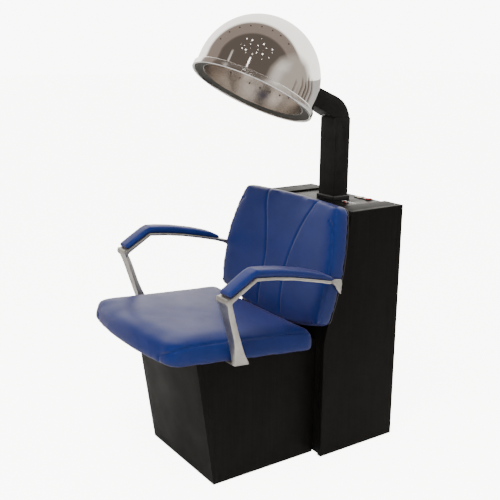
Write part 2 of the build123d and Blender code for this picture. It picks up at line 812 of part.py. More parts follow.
# ---------------------------------------------------------------- hood
DOME_T = 1.2
with BuildPart() as hood_dome:
    with BuildSketch(hood_plane):
        with BuildLine():
            Polyline((DOME_R - DOME_T, 0), (DOME_R, 0), (DOME_R, DOME_RISE))
            RadiusArc((DOME_R, DOME_RISE), (0, DOME_RISE + DOME_R), -DOME_R)
            Line((0, DOME_RISE + DOME_R), (0, DOME_RISE + DOME_R - DOME_T))
            RadiusArc((0, DOME_RISE + DOME_R - DOME_T), (DOME_R - DOME_T, DOME_RISE), DOME_R - DOME_T)
            Line((DOME_R - DOME_T, DOME_RISE), (DOME_R - DOME_T, 0))
        make_face()
    revolve(axis=hood_axis)
    with BuildSketch(Plane.YZ.offset(-ARM_HALF - 0.3)):
        with BuildLine():
            Polyline((252, 1192.5), (170, 1227.5), (170, 1158.5), (232, 1133.5), (252, 1124), close=True)
        make_face()
    extrude(amount=2 * ARM_HALF + 0.6, mode=Mode.SUBTRACT)
save("hood_dome", hood_dome)

with BuildPart() as hood_rim:
    with BuildSketch(hood_plane):
        with Locations(((DOME_R + RIM_R) / 2, 6)):
            RectangleRounded(RIM_R - DOME_R, 19, 2.6)
    revolve(axis=hood_axis)
save("hood_rim", hood_rim)

with BuildPart() as hood_flange:
    with BuildSketch(hood_plane):
        with BuildLine():
            Polyline(
                (DOME_R - DOME_T, 1),
                (DOME_R - DOME_T, 3),
                (BOWL_R + 6, 9),
                (BOWL_R + 6, 16),
                (BOWL_R, 16),
                (BOWL_R, 7.4),
                close=True,
            )
        make_face()
    revolve(axis=hood_axis)
save("hood_flange", hood_flange)

BOWL_RISE = 45
BOWL_T = 1.2
HOLE_RINGS = ((14, 6), (26, 12), (38, 16), (50, 20), (62, 24))
with BuildPart() as inner_bowl:
    with BuildSketch(hood_plane):
        with BuildLine():
            Polyline((BOWL_R - BOWL_T, 7.6), (BOWL_R, 7.6), (BOWL_R, BOWL_RISE))
            RadiusArc((BOWL_R, BOWL_RISE), (0, BOWL_RISE + BOWL_R), -BOWL_R)
            Line((0, BOWL_RISE + BOWL_R), (0, BOWL_RISE + BOWL_R - BOWL_T))
            RadiusArc((0, BOWL_RISE + BOWL_R - BOWL_T), (BOWL_R - BOWL_T, BOWL_RISE), BOWL_R - BOWL_T)
            Line((BOWL_R - BOWL_T, BOWL_RISE), (BOWL_R - BOWL_T, 7.6))
        make_face()
    revolve(axis=hood_axis)
    for polar, count in HOLE_RINGS:
        for k in range(count):
            turn = 360 * (k + (polar % 4) / 4) / count
            frame = hood_base.offset(BOWL_RISE) * Rot(0, 0, turn) * Rot(0, polar, 0)
            with Locations(frame.location if isinstance(frame, Plane) else frame):
                with Locations(Pos(0, 0, BOWL_R - 8)):
                    Cylinder(3, 20, mode=Mode.SUBTRACT)
save("inner_bowl", inner_bowl)

# curved steel pad welded inside the dome around the arm opening
shell_outer = Pos(*dome_centre) * Sphere(DOME_R - DOME_T)
shell_inner = Pos(*dome_centre) * Sphere(DOME_R - DOME_T - 4)
with BuildPart() as hood_saddle:
    with BuildSketch(Plane.YZ.offset(-62)):
        with BuildLine():
            Polyline((252, 1215), (190, 1235), (150, 1200), (190, 1120), (252, 1108), close=True)
        make_face()
    extrude(amount=124)
    add(shell_outer, mode=Mode.INTERSECT)
    add(shell_inner, mode=Mode.SUBTRACT)
    with BuildSketch(Plane.YZ.offset(-ARM_HALF)):
        with BuildLine():
            Polyline((252, 1192), (170, 1227), (170, 1159), (232, 1134), (252, 1124), close=True)
        make_face()
    extrude(amount=2 * ARM_HALF, mode=Mode.SUBTRACT)
save("hood_saddle", hood_saddle)

# ---------------------------------------------------------------- controls
with BuildPart() as timer_body:
    with BuildSketch(Plane.XY.offset(TRAY_TOP - 40)):
        with Locations(TIMER):
            Rectangle(42, 42)
    extrude(amount=37)
    with BuildSketch(Plane.XY.offset(TRAY_TOP - 3)):
        with Locations(TIMER):
            Circle(6)
    extrude(amount=5)
    with BuildSketch(Plane.XY.offset(TRAY_TOP + 2)):
        with Locations(TIMER):
            Circle(3 + RUN_FIT)
    extrude(amount=-30, mode=Mode.SUBTRACT)
save("timer_body", timer_body)

KNOB_Z = TRAY_TOP + 2.4
with BuildPart() as timer_knob:
    with BuildSketch(Plane.XY.offset(KNOB_Z)):
        with Locations(TIMER):
            Circle(22)
    extrude(amount=3)
    with BuildSketch(Plane.XY.offset(KNOB_Z + 3)):
        with Locations(TIMER):
            Circle(16)
    extrude(amount=13, taper=4)
    fillet(timer_knob.faces().sort_by(Axis.Z)[-1].edges(), 1.5)
    with BuildSketch(Plane.XY.offset(KNOB_Z + 3)):
        with Locations(TIMER):
            with PolarLocations(17, 18):
                Circle(1.6)
    extrude(amount=14, mode=Mode.SUBTRACT)
    with BuildSketch(Plane.XY.offset(KNOB_Z + 14)):
        with Locations((TIMER[0], TIMER[1] + 8)):
            Rectangle(2, 10)
    extrude(amount=3, mode=Mode.SUBTRACT)
    with BuildSketch(Plane.XY.offset(KNOB_Z)):
        with Locations(TIMER):
            Circle(3)
    extrude(amount=-24)
save("timer_knob", timer_knob)

ROCK_Z = TRAY_TOP - 4   # height of the rocker pivots
ROCK = 8                # rest tilt of the rockers, degrees
for name, centre in SWITCHES.items():
    with BuildPart() as housing:
        with BuildSketch(Plane.XY.offset(TRAY_TOP - 26)):
            with Locations(centre):
                Rectangle(SWITCH_CUT[0] - 0.4, SWITCH_CUT[1] - 0.4)
        extrude(amount=26)
        with BuildSketch(Plane.XY.offset(TRAY_TOP)):
            with Locations(centre):
                RectangleRounded(34, 27, 3)
        extrude(amount=2)
        chamfer(housing.faces().sort_by(Axis.Z)[-1].edges(), 1)
        with BuildSketch(Plane.XY.offset(TRAY_TOP + 2)):
            with Locations(centre):
                Rectangle(25, 18)
        extrude(amount=-16, mode=Mode.SUBTRACT)
        with BuildSketch(Plane.XZ.offset(-centre[1] - 10.6)):
            with Locations((centre[0], ROCK_Z)):
                Circle(1.5 + RUN_FIT)
        extrude(amount=21.2, mode=Mode.SUBTRACT)
    save(name + "_switch_body", housing)

    rock_plane = Plane(
        origin=(centre[0], centre[1], ROCK_Z),
        x_dir=(cos(radians(ROCK)), 0, sin(radians(ROCK))),
        z_dir=(0, -1, 0),
    )
    with BuildPart() as rocker:
        with BuildSketch(rock_plane.offset(-8.7)):
            with BuildLine():
                Polyline(
                    (-11.6, 8.3),
                    (0, 7),
                    (11.6, 8.3),
                    (11, 1),
                    (4, -3),
                    (-4, -3),
                    (-11, 1),
                    close=True,
                )
            make_face()
        extrude(amount=17.4)
        with BuildSketch(rock_plane.offset(-10.4)):
            Circle(1.5)
        extrude(amount=20.8)
    save(name + "_rocker", rocker)

BUTTON_R = 3.5
with BuildPart() as reset_bezel:
    with BuildSketch(Plane.XY.offset(TRAY_TOP)):
        with Locations(RESET):
            Circle(8)
            Circle(BUTTON_R + RUN_FIT, mode=Mode.SUBTRACT)
    extrude(amount=1.6)
    with BuildSketch(Plane.XY.offset(TRAY_TOP)):
        with Locations(RESET):
            Circle(6)
            Circle(BUTTON_R + RUN_FIT, mode=Mode.SUBTRACT)
    extrude(amount=-16)
    with BuildSketch(Plane.XY.offset(TRAY_TOP - 16)):
        with Locations(RESET):
            Circle(6)
    extrude(amount=-2)
save("reset_bezel", reset_bezel)

with BuildPart() as reset_button:
    with BuildSketch(Plane.XY.offset(TRAY_TOP - 12)):
        with Locations(RESET):
            Circle(BUTTON_R)
    extrude(amount=17)
    fillet(reset_button.faces().sort_by(Axis.Z)[-1].edges(), 1.2)
save("reset_button", reset_button)

# ---------------------------------------------------------------- blower and heater
SCROLL_HALF = 38
WALL = 2
axis_y, axis_z = BLOWER
OUTLET_TOP = 655
with BuildPart() as blower_housing:
    with BuildSketch(Plane.YZ.offset(-SCROLL_HALF)):
        with Locations(BLOWER):
            Circle(98)
        with Locations((post_mid[1], (axis_z + OUTLET_TOP) / 2)):
            Rectangle(POST_D, OUTLET_TOP - axis_z)
        with Locations((axis_y, axis_z - 90)):
            Rectangle(120, 16)
    extrude(amount=2 * SCROLL_HALF)
    with BuildSketch(Plane.YZ.offset(-SCROLL_HALF + WALL)):
        with Locations(BLOWER):
            Circle(98 - WALL)
        with Locations((post_mid[1], (axis_z + OUTLET_TOP) / 2)):
            Rectangle(POST_D - 2 * WALL, OUTLET_TOP - axis_z)
    extrude(amount=2 * (SCROLL_HALF - WALL), mode=Mode.SUBTRACT)
    with BuildSketch(Plane.YZ.offset(SCROLL_HALF - WALL)):
        with Locations(BLOWER):
            Circle(46)
    extrude(amount=WALL, mode=Mode.SUBTRACT)
    with BuildSketch(Plane.YZ.offset(-SCROLL_HALF)):
        with Locations(BLOWER):
            Circle(9)
    extrude(amount=WALL, mode=Mode.SUBTRACT)
save("blower_housing", blower_housing)

with BuildPart() as blower_wheel:
    with BuildSketch(Plane.YZ.offset(-30)):
        with Locations(BLOWER):
            Circle(78)
            Circle(4, mode=Mode.SUBTRACT)
    extrude(amount=2)
    with BuildSketch(Plane.YZ.offset(-30)):
        with Locations(BLOWER):
            Circle(12)
            Circle(4, mode=Mode.SUBTRACT)
    extrude(amount=18)
    with BuildSketch(Plane.YZ.offset(24)):
        with Locations(BLOWER):
            Circle(78)
            Circle(62, mode=Mode.SUBTRACT)
    extrude(amount=2)
    with BuildSketch(Plane.YZ.offset(-28)):
        with Locations(BLOWER):
            with PolarLocations(70, 28):
                with Locations(Rot(0, 0, 35)):
                    Rectangle(14, 1.6)
    extrude(amount=52)
save("blower_wheel", blower_wheel)

with BuildPart() as blower_shaft:
    with BuildSketch(Plane.YZ.offset(-96)):
        with Locations(BLOWER):
            Circle(4)
    extrude(amount=86)
    chamfer(blower_shaft.edges().filter_by(GeomType.CIRCLE), 0.5)
save("blower_shaft", blower_shaft)

with BuildPart() as blower_motor:
    with BuildSketch(Plane.YZ.offset(-SCROLL_HALF - 3)):
        with Locations(BLOWER):
            RectangleRounded(96, 96, 8)
    extrude(amount=3)
    with BuildSketch(Plane.YZ.offset(-SCROLL_HALF - 65)):
        with Locations(BLOWER):
            Circle(41)
    extrude(amount=62)
    fillet(blower_motor.faces().sort_by(Axis.X)[0].edges(), 5)
    with BuildSketch(Plane.YZ.offset(-98)):
        with Locations(BLOWER):
            Circle(4 + RUN_FIT)
    extrude(amount=62, mode=Mode.SUBTRACT)
save("blower_motor", blower_motor)

with BuildPart() as heater_box:
    with BuildSketch(Plane.XY.offset(OUTLET_TOP)):
        with Locations(post_mid):
            Rectangle(POST_W + 4, POST_D + 8)
    extrude(amount=POST_FOOT - OUTLET_TOP)
    with BuildSketch(Plane.XY.offset(OUTLET_TOP + WALL)):
        with Locations(post_mid):
            Rectangle(POST_W, POST_D + 4)
    extrude(amount=POST_FOOT - OUTLET_TOP - 2 * WALL, mode=Mode.SUBTRACT)
    with BuildSketch(Plane.XY.offset(OUTLET_TOP)):
        with Locations(post_mid):
            Rectangle(POST_W - 10, POST_D - 6)
    extrude(amount=POST_FOOT - OUTLET_TOP, mode=Mode.SUBTRACT)
save("heater_box", heater_box)

with BuildPart() as heater_frame:
    with BuildSketch(Plane.XY.offset(OUTLET_TOP + WALL)):
        with Locations(post_mid):
            Rectangle(POST_W - 1, 1.6)
            Rectangle(1.6, POST_D + 3)
    extrude(amount=POST_FOOT - OUTLET_TOP - 2 * WALL)
save("heater_frame", heater_frame)

with BuildPart() as heater_coils:
    for level in range(5):
        with BuildSketch(Plane.XY.offset(OUTLET_TOP + 16 + 18 * level)):
            with Locations(post_mid):
                SlotOverall(66, 46)
                SlotOverall(60, 40, mode=Mode.SUBTRACT)
                Rectangle(70, 1.8, mode=Mode.SUBTRACT)
                Rectangle(1.8, 60, mode=Mode.SUBTRACT)
        extrude(amount=4)
save("heater_coils", heater_coils)

with BuildPart() as thermal_cutout:
    with BuildSketch(Plane.YZ.offset(POST_W / 2 + 2)):
        with Locations((post_mid[1], 720)):
            SlotOverall(34, 12)
    extrude(amount=1.5)
    with BuildSketch(Plane.YZ.offset(POST_W / 2 + 3.5)):
        with Locations((post_mid[1], 720)):
            Circle(8)
    extrude(amount=9)
save("thermal_cutout", thermal_cutout)

with BuildPart() as terminal_block:
    with BuildSketch(Plane.XY.offset(SHELF_TOP)):
        with Locations((150, 260)):
            Rectangle(64, 22)
    extrude(amount=16)
    with BuildSketch(Plane.XY.offset(SHELF_TOP + 16)):
        with Locations((150, 260)):
            with GridLocations(12, 10, 5, 2):
                Circle(3)
    extrude(amount=-8, mode=Mode.SUBTRACT)
save("terminal_block", terminal_block)
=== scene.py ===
import json
import math

import bmesh
import bpy
import numpy as np
from mathutils import Matrix, Vector
from mathutils.bvhtree import BVHTree
from mathutils.kdtree import KDTree

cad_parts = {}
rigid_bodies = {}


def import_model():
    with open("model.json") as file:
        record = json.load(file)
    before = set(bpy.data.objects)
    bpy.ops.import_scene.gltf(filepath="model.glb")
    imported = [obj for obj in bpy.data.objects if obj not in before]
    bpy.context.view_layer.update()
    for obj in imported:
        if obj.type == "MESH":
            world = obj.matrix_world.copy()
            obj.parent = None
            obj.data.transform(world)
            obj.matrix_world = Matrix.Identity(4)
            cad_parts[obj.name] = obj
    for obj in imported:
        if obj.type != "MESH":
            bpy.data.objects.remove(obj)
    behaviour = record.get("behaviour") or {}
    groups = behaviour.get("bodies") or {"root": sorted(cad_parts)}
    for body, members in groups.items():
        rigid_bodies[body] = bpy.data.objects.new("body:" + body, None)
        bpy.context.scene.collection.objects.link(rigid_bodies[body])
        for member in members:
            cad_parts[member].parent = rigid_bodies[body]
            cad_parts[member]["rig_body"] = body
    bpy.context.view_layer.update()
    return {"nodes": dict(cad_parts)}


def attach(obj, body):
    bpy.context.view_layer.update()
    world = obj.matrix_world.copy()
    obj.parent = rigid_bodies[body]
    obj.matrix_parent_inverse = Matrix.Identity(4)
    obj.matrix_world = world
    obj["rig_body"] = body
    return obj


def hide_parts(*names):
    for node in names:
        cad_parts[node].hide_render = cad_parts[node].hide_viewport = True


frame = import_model()
node = frame["nodes"]

# ---------------------------------------------------------------- camera
# A full-frame camera with a 58 mm lens stands ahead of the chair and to the sitter's left, at the
# height of the hood, looking slightly down with the faintest roll.
azimuth = math.radians(55.716)
rise = math.radians(14.497)
roll = math.radians(0.514)
LENS_MM = 57.83
FILM_WIDTH_MM = 36
away = Vector((
    math.sin(azimuth) * math.cos(rise),
    -math.cos(azimuth) * math.cos(rise),
    math.sin(rise),
))
right = Vector((math.cos(azimuth), math.sin(azimuth), 0))
up = away.cross(right)
turned_right = right * math.cos(roll) + up * math.sin(roll)
turned_up = up * math.cos(roll) - right * math.sin(roll)
camera_place = Vector((2.0950, -1.4175, 1.3309))
camera_data = bpy.data.cameras.new("studio_camera")
camera_data.sensor_width = FILM_WIDTH_MM
camera_data.lens = LENS_MM
camera = bpy.data.objects.new("studio_camera", camera_data)
bpy.context.collection.objects.link(camera)
camera.matrix_world = Matrix((
    (turned_right.x, turned_up.x, away.x, camera_place.x),
    (turned_right.y, turned_up.y, away.y, camera_place.y),
    (turned_right.z, turned_up.z, away.z, camera_place.z),
    (0, 0, 0, 1),
))
bpy.context.scene.camera = camera

# ---------------------------------------------------------------- studio
# The chair stands on a wide pale floor in an even cream light, with a group of small lamps above
# the camera. What the polished hood mirrors of the room stands on cards only reflections can see.
HOOD_CENTRE = Vector((0, 0.012, 1.180))
HOOD_LEAN = math.radians(28.7)
DOME_RISE = 0.047
DOME_R = 0.1952
hood_up = Vector((0, math.sin(HOOD_LEAN), math.cos(HOOD_LEAN)))
hood_back = Vector((0, math.cos(HOOD_LEAN), -math.sin(HOOD_LEAN)))
dome_centre = HOOD_CENTRE + hood_up * DOME_RISE


def emitter(name, colour, strength, soft=0.0):
    """A glowing card finish; soft is the share of the card over which its edge fades out."""
    mat = bpy.data.materials.new(name)
    mat.use_nodes = True
    tree = mat.node_tree
    tree.nodes.clear()
    glow = tree.nodes.new("ShaderNodeEmission")
    glow.inputs["Color"].default_value = (*colour, 1)
    glow.inputs["Strength"].default_value = strength
    out = tree.nodes.new("ShaderNodeOutputMaterial")
    if not soft:
        tree.links.new(glow.outputs["Emission"], out.inputs["Surface"])
        return mat
    edge = tree.nodes.new("ShaderNodeAttribute")
    edge.attribute_name = "edge"
    fade = tree.nodes.new("ShaderNodeMapRange")
    fade.inputs["From Min"].default_value = 1 - soft
    fade.inputs["From Max"].default_value = 1
    fade.inputs["To Min"].default_value = 1
    fade.inputs["To Max"].default_value = 0
    clear = tree.nodes.new("ShaderNodeBsdfTransparent")
    blend = tree.nodes.new("ShaderNodeMixShader")
    tree.links.new(edge.outputs["Fac"], fade.inputs["Value"])
    tree.links.new(fade.outputs["Result"], blend.inputs["Fac"])
    tree.links.new(clear.outputs["BSDF"], blend.inputs[1])
    tree.links.new(glow.outputs["Emission"], blend.inputs[2])
    tree.links.new(blend.outputs["Shader"], out.inputs["Surface"])
    return mat


def add_object(name, mesh, material):
    """Link a mesh as an object at the origin with one finish."""
    made = bpy.data.objects.new(name, mesh)
    bpy.context.collection.objects.link(made)
    mesh.materials.clear()
    mesh.materials.append(material)
    return made


view = (camera_place - dome_centre).normalized()
view_right = Vector((0, 0, 1)).cross(view).normalized()
view_up = view.cross(view_right)


def mirrored(u, v):
    """Direction in the room that the dome mirrors at u right and v up of its middle, in radii."""
    normal = view_right * u + view_up * v + view * math.sqrt(max(0.0, 1 - u * u - v * v))
    return (2 * normal.dot(view) * normal - view).normalized()


CARD_RINGS = 14


def mirror_card(name, outline, distance, material):
    """A card only reflections see; its outline is given as the dome mirrors it."""
    middle = (sum(u for u, v in outline) / len(outline), sum(v for u, v in outline) / len(outline))
    rings = CARD_RINGS
    points = [dome_centre + mirrored(*middle) * distance]
    for ring in range(1, rings + 1):
        for u, v in outline:
            k = ring / rings
            spot = mirrored(middle[0] + (u - middle[0]) * k, middle[1] + (v - middle[1]) * k)
            points.append(dome_centre + spot * distance)
    count = len(outline)
    faces = [(0, 1 + k, 1 + (k + 1) % count) for k in range(count)]
    for ring in range(rings - 1):
        for k in range(count):
            a = 1 + ring * count + k
            b = 1 + ring * count + (k + 1) % count
            faces.append((a, a + count, b + count, b))
    mesh = bpy.data.meshes.new(name)
    mesh.from_pydata(points, [], faces)
    edge = mesh.attributes.new("edge", "FLOAT", "POINT")
    for k in range(1, len(points)):
        edge.data[k].value = ((k - 1) // count + 1) / rings
    card = add_object(name, mesh, material)
    card.visible_camera = False
    card.visible_diffuse = False
    card.visible_shadow = False
    card.visible_transmission = False
    return card


def ring_outline(u, v, radius, start=0, stop=360, steps=72):
    """Points of an arc in the dome's mirror picture."""
    spots = []
    for k in range(steps):
        turn = math.radians(start + (stop - start) * k / steps)
        spots.append((u + radius * math.cos(turn), v + radius * math.sin(turn)))
    return spots


CREAM_LIGHT = (1.0, 0.985, 0.96, 1)
ROOM_LIGHT = 0.62
SEEN_LIGHT = 9.0
MIRRORED_LIGHT = 2.6
world = bpy.data.worlds.new("studio")
bpy.context.scene.world = world
world.use_nodes = True
sky = world.node_tree
room_glow = sky.nodes["Background"]
room_glow.inputs["Color"].default_value = CREAM_LIGHT
room_glow.inputs["Strength"].default_value = ROOM_LIGHT
seen_glow = sky.nodes.new("ShaderNodeBackground")
seen_glow.inputs["Color"].default_value = (1.0, 0.99, 0.975, 1)
seen_glow.inputs["Strength"].default_value = SEEN_LIGHT
mirror_glow = sky.nodes.new("ShaderNodeBackground")
mirror_glow.inputs["Color"].default_value = (1.0, 0.965, 0.90, 1)
mirror_glow.inputs["Strength"].default_value = MIRRORED_LIGHT
mirror_pick = sky.nodes.new("ShaderNodeMixShader")
seen_pick = sky.nodes.new("ShaderNodeMixShader")
ray_kind = sky.nodes.new("ShaderNodeLightPath")
sky.links.new(ray_kind.outputs["Is Camera Ray"], seen_pick.inputs["Fac"])
sky.links.new(ray_kind.outputs["Is Glossy Ray"], mirror_pick.inputs["Fac"])
sky.links.new(room_glow.outputs["Background"], mirror_pick.inputs[1])
sky.links.new(mirror_glow.outputs["Background"], mirror_pick.inputs[2])
sky.links.new(mirror_pick.outputs["Shader"], seen_pick.inputs[1])
sky.links.new(seen_glow.outputs["Background"], seen_pick.inputs[2])
sky.links.new(seen_pick.outputs["Shader"], sky.nodes["World Output"].inputs["Surface"])

# the floor glows to the camera only, so that it meets the background without an edge
FLOOR_GLOW = 8.0
FLOOR_HALF = 30
FLOOR_LEVEL = -0.0005
floor_finish = bpy.data.materials.new("pale_floor")
floor_finish.use_nodes = True
floor_tree = floor_finish.node_tree
floor_paint = floor_tree.nodes["Principled BSDF"]
floor_paint.inputs["Base Color"].default_value = (0.93, 0.92, 0.905, 1)
floor_paint.inputs["Roughness"].default_value = 0.9
sweep_glow = floor_tree.nodes.new("ShaderNodeEmission")
sweep_glow.inputs["Color"].default_value = CREAM_LIGHT
sweep_glow.inputs["Strength"].default_value = FLOOR_GLOW
sweep_sum = floor_tree.nodes.new("ShaderNodeAddShader")
sweep_pick = floor_tree.nodes.new("ShaderNodeMixShader")
sweep_ray = floor_tree.nodes.new("ShaderNodeLightPath")
sweep_out = floor_tree.nodes["Material Output"]
floor_tree.links.new(floor_paint.outputs["BSDF"], sweep_sum.inputs[0])
floor_tree.links.new(sweep_glow.outputs["Emission"], sweep_sum.inputs[1])
floor_tree.links.new(sweep_ray.outputs["Is Camera Ray"], sweep_pick.inputs["Fac"])
floor_tree.links.new(floor_paint.outputs["BSDF"], sweep_pick.inputs[1])
floor_tree.links.new(sweep_sum.outputs["Shader"], sweep_pick.inputs[2])
floor_tree.links.new(sweep_pick.outputs["Shader"], sweep_out.inputs["Surface"])
floor_mesh = bpy.data.meshes.new("studio_floor")
floor_signs = ((-1, -1), (1, -1), (1, 1), (-1, 1))
floor_corners = [(x * FLOOR_HALF, y * FLOOR_HALF, FLOOR_LEVEL) for x, y in floor_signs]
floor_mesh.from_pydata(floor_corners, [], [(0, 1, 2, 3)])
studio_floor = add_object("studio_floor", floor_mesh, floor_finish)

# the room ahead of the chair as the hood mirrors it: dark hall, its paler far band, a lit wall
HALL = (-0.09, 0.09)
mirror_card("room_hall", ring_outline(*HALL, 0.60), 7.0, emitter("hall", (0.145, 0.118, 0.100), 1.0, 0.05))
mirror_card("room_band", ring_outline(*HALL, 0.775), 7.6, emitter("band", (0.36, 0.29, 0.25), 1.0, 0.05))
wall_outline = [
    (0.60, 0.42), (0.32, 0.34), (0.20, 0.22), (0.07, 0.09), (0.03, -0.12), (0.05, -0.5),
    (0.3, -0.75), (0.6, -0.6), (0.8, -0.3), (0.84, 0.0), (0.78, 0.25),
]
bright_outline = [(0.36, 0.30), (0.26, 0.22), (0.20, 0.10), (0.30, 0.02), (0.50, 0.10), (0.56, 0.26)]
low_outline = [
    (0.06, -0.06), (0.20, -0.02), (0.36, -0.10), (0.52, -0.06), (0.60, -0.30), (0.45, -0.55), (0.20, -0.45),
]
mirror_card("room_wall", wall_outline, 5.2, emitter("wall", (0.58, 0.52, 0.46), 1.0, 0.22))
mirror_card("room_wall_bright", bright_outline, 5.0, emitter("wall_bright", (0.95, 0.88, 0.80), 1.0, 0.8))
mirror_card("room_low", low_outline, 4.8, emitter("low", (0.36, 0.30, 0.26), 1.0, 0.6))

# a row of dark uprights low down at the right
POST_FOOT = -0.36
POST_TOPS = (0.02, -0.05, 0.06, 0.0, 0.09, 0.04)
POST_TONES = ((0.15, 0.115, 0.095), (0.20, 0.155, 0.130), (0.25, 0.195, 0.165))
for k, top in enumerate(POST_TOPS):
    left = 0.56 + 0.050 * k
    outline = [(left - 0.04, POST_FOOT), (left - 0.008 + 0.01 * (k % 2), POST_FOOT),
               (left + 0.040, top - 0.02), (left + 0.014, top)]
    mirror_card("room_post_%d" % k, outline, 4.6, emitter("post_%d" % k, POST_TONES[k % 3], 1.0, 0.5))

# dark slots along the far band
SLOT_TURNS = (38, 52, 64, 78, 92, 106, 120, 134)
SLOT_REACH = 0.70
for k, degrees in enumerate(SLOT_TURNS):
    u = HALL[0] + SLOT_REACH * math.cos(math.radians(degrees))
    v = HALL[1] + SLOT_REACH * math.sin(math.radians(degrees))
    slot_dark = emitter("slot_%d" % k, (0.05, 0.04, 0.035), 1.0)
    mirror_card("room_slot_%d" % k, ring_outline(u, v, 0.012, steps=8), 6.4, slot_dark)

# rows of small lamps in the hall: height, first and last place across, and how many
LAMP_ROWS = (
    (0.50, -0.26, 0.06, 5), (0.44, -0.27, 0.19, 6), (0.375, -0.22, 0.21, 5), (0.30, -0.12, 0.14, 3),
    (0.20, -0.33, 0.02, 4), (0.10, -0.26, 0.04, 3), (0.58, -0.16, 0.06, 3),
)
LAMP_SIZES = (0.0030, 0.0070, 0.0040, 0.0095, 0.0050)
for row, (height, first, last, count) in enumerate(LAMP_ROWS):
    for k in range(count):
        u = first + (last - first) * (k + 0.35 * math.sin(5.0 * k + row)) / (count - 1)
        v = height + 0.012 * math.cos(3.0 * k)
        lamp_size = LAMP_SIZES[(2 * k + row) % 5]
        lamp_light = emitter("lamp_%d_%d" % (row, k), (1.0, 0.97, 0.92), 7.0)
        mirror_card("room_lamp_%d_%d" % (row, k), ring_outline(u, v, lamp_size, steps=8), 6.2, lamp_light)
strip_outline = [(-0.39, 0.44), (-0.36, 0.43), (-0.45, 0.20), (-0.48, 0.22)]
mirror_card("room_strip", strip_outline, 6.1, emitter("strip", (0.9, 0.86, 0.8), 1.6, 0.6))


def area_lamp(name, direction, distance, size, power, colour, glossy):
    """A square soft lamp aimed at the middle of the chair."""
    data = bpy.data.lights.new(name, "AREA")
    data.energy = power
    data.size = size
    data.color = colour
    lamp = bpy.data.objects.new(name, data)
    target = Vector((0, 0, 0.6))
    lamp.location = target + Vector(direction).normalized() * distance
    lamp.rotation_euler = (lamp.location - target).to_track_quat("Z", "Y").to_euler()
    lamp.visible_glossy = glossy
    bpy.context.collection.objects.link(lamp)


area_lamp("overhead_lamp", (0.35, -0.55, 1.0), 3.2, 1.2, 125, (1.0, 0.97, 0.93), False)
area_lamp("side_lamp", (1.0, -0.5, 0.45), 3.6, 1.6, 26, (1.0, 0.97, 0.94), False)

# ---------------------------------------------------------------- cabinet and base boards
# Chipboard faced with near-black laminate that has a faint upright grain; the visible edges carry
# the same foil with a small eased corner. The boards are doweled and glued.


def step_node(tree, kind, sockets=(), **settings):
    """One shader node with its settings and unlinked socket values."""
    made = tree.nodes.new(kind)
    for key, value in settings.items():
        setattr(made, key, value)
    for key, value in dict(sockets).items():
        made.inputs[key].default_value = value
    return made


def finish(name, tones, rough, scale, stretch=(1, 1, 1), grain=400.0, bump=0.15, depth=0.0004,
           cells=False, sockets=()):
    """A surface finish: mottled tones, uneven roughness and a fine relief, on object coordinates."""
    mat = bpy.data.materials.new(name)
    mat.use_nodes = True
    tree = mat.node_tree
    shader = tree.nodes["Principled BSDF"]
    for key, value in dict(sockets).items():
        shader.inputs[key].default_value = value
    place = step_node(tree, "ShaderNodeTexCoord")
    turn = step_node(tree, "ShaderNodeMapping", {"Scale": stretch})
    mottle = step_node(tree, "ShaderNodeTexNoise", {"Scale": scale, "Detail": 7.0, "Roughness": 0.6})
    ramp = step_node(tree, "ShaderNodeValToRGB")
    ramp.color_ramp.elements[0].position = 0.34
    ramp.color_ramp.elements[0].color = (*tones[0], 1)
    ramp.color_ramp.elements[1].position = 0.68
    ramp.color_ramp.elements[1].color = (*tones[1], 1)
    wear = step_node(tree, "ShaderNodeTexNoise", {"Scale": 9.0, "Detail": 4.0})
    gloss = step_node(tree, "ShaderNodeMapRange", {"From Min": 0.3, "From Max": 0.7, "To Min": rough[0],
                                                  "To Max": rough[1]})
    if cells:
        relief = step_node(tree, "ShaderNodeTexVoronoi", {"Scale": grain})
        relief_out = relief.outputs["Distance"]
    else:
        relief = step_node(tree, "ShaderNodeTexNoise", {"Scale": grain, "Detail": 3.0})
        relief_out = relief.outputs["Fac"]
    raised = step_node(tree, "ShaderNodeBump", {"Strength": bump, "Distance": depth})
    link = tree.links.new
    link(place.outputs["Object"], turn.inputs["Vector"])
    link(turn.outputs["Vector"], mottle.inputs["Vector"])
    link(mottle.outputs["Fac"], ramp.inputs["Fac"])
    link(ramp.outputs["Color"], shader.inputs["Base Color"])
    link(place.outputs["Object"], wear.inputs["Vector"])
    link(wear.outputs["Fac"], gloss.inputs["Value"])
    link(gloss.outputs["Result"], shader.inputs["Roughness"])
    relief_place = turn.outputs["Vector"] if stretch != (1, 1, 1) else place.outputs["Object"]
    link(relief_place, relief.inputs["Vector"])
    link(relief_out, raised.inputs["Height"])
    link(raised.outputs["Normal"], shader.inputs["Normal"])
    return mat


EDGE_ANGLE = math.radians(40)
FLAT_ANGLE = math.radians(0.6)
SHADING_ANGLE = math.radians(28)
MERGE_GAP = 0.00001


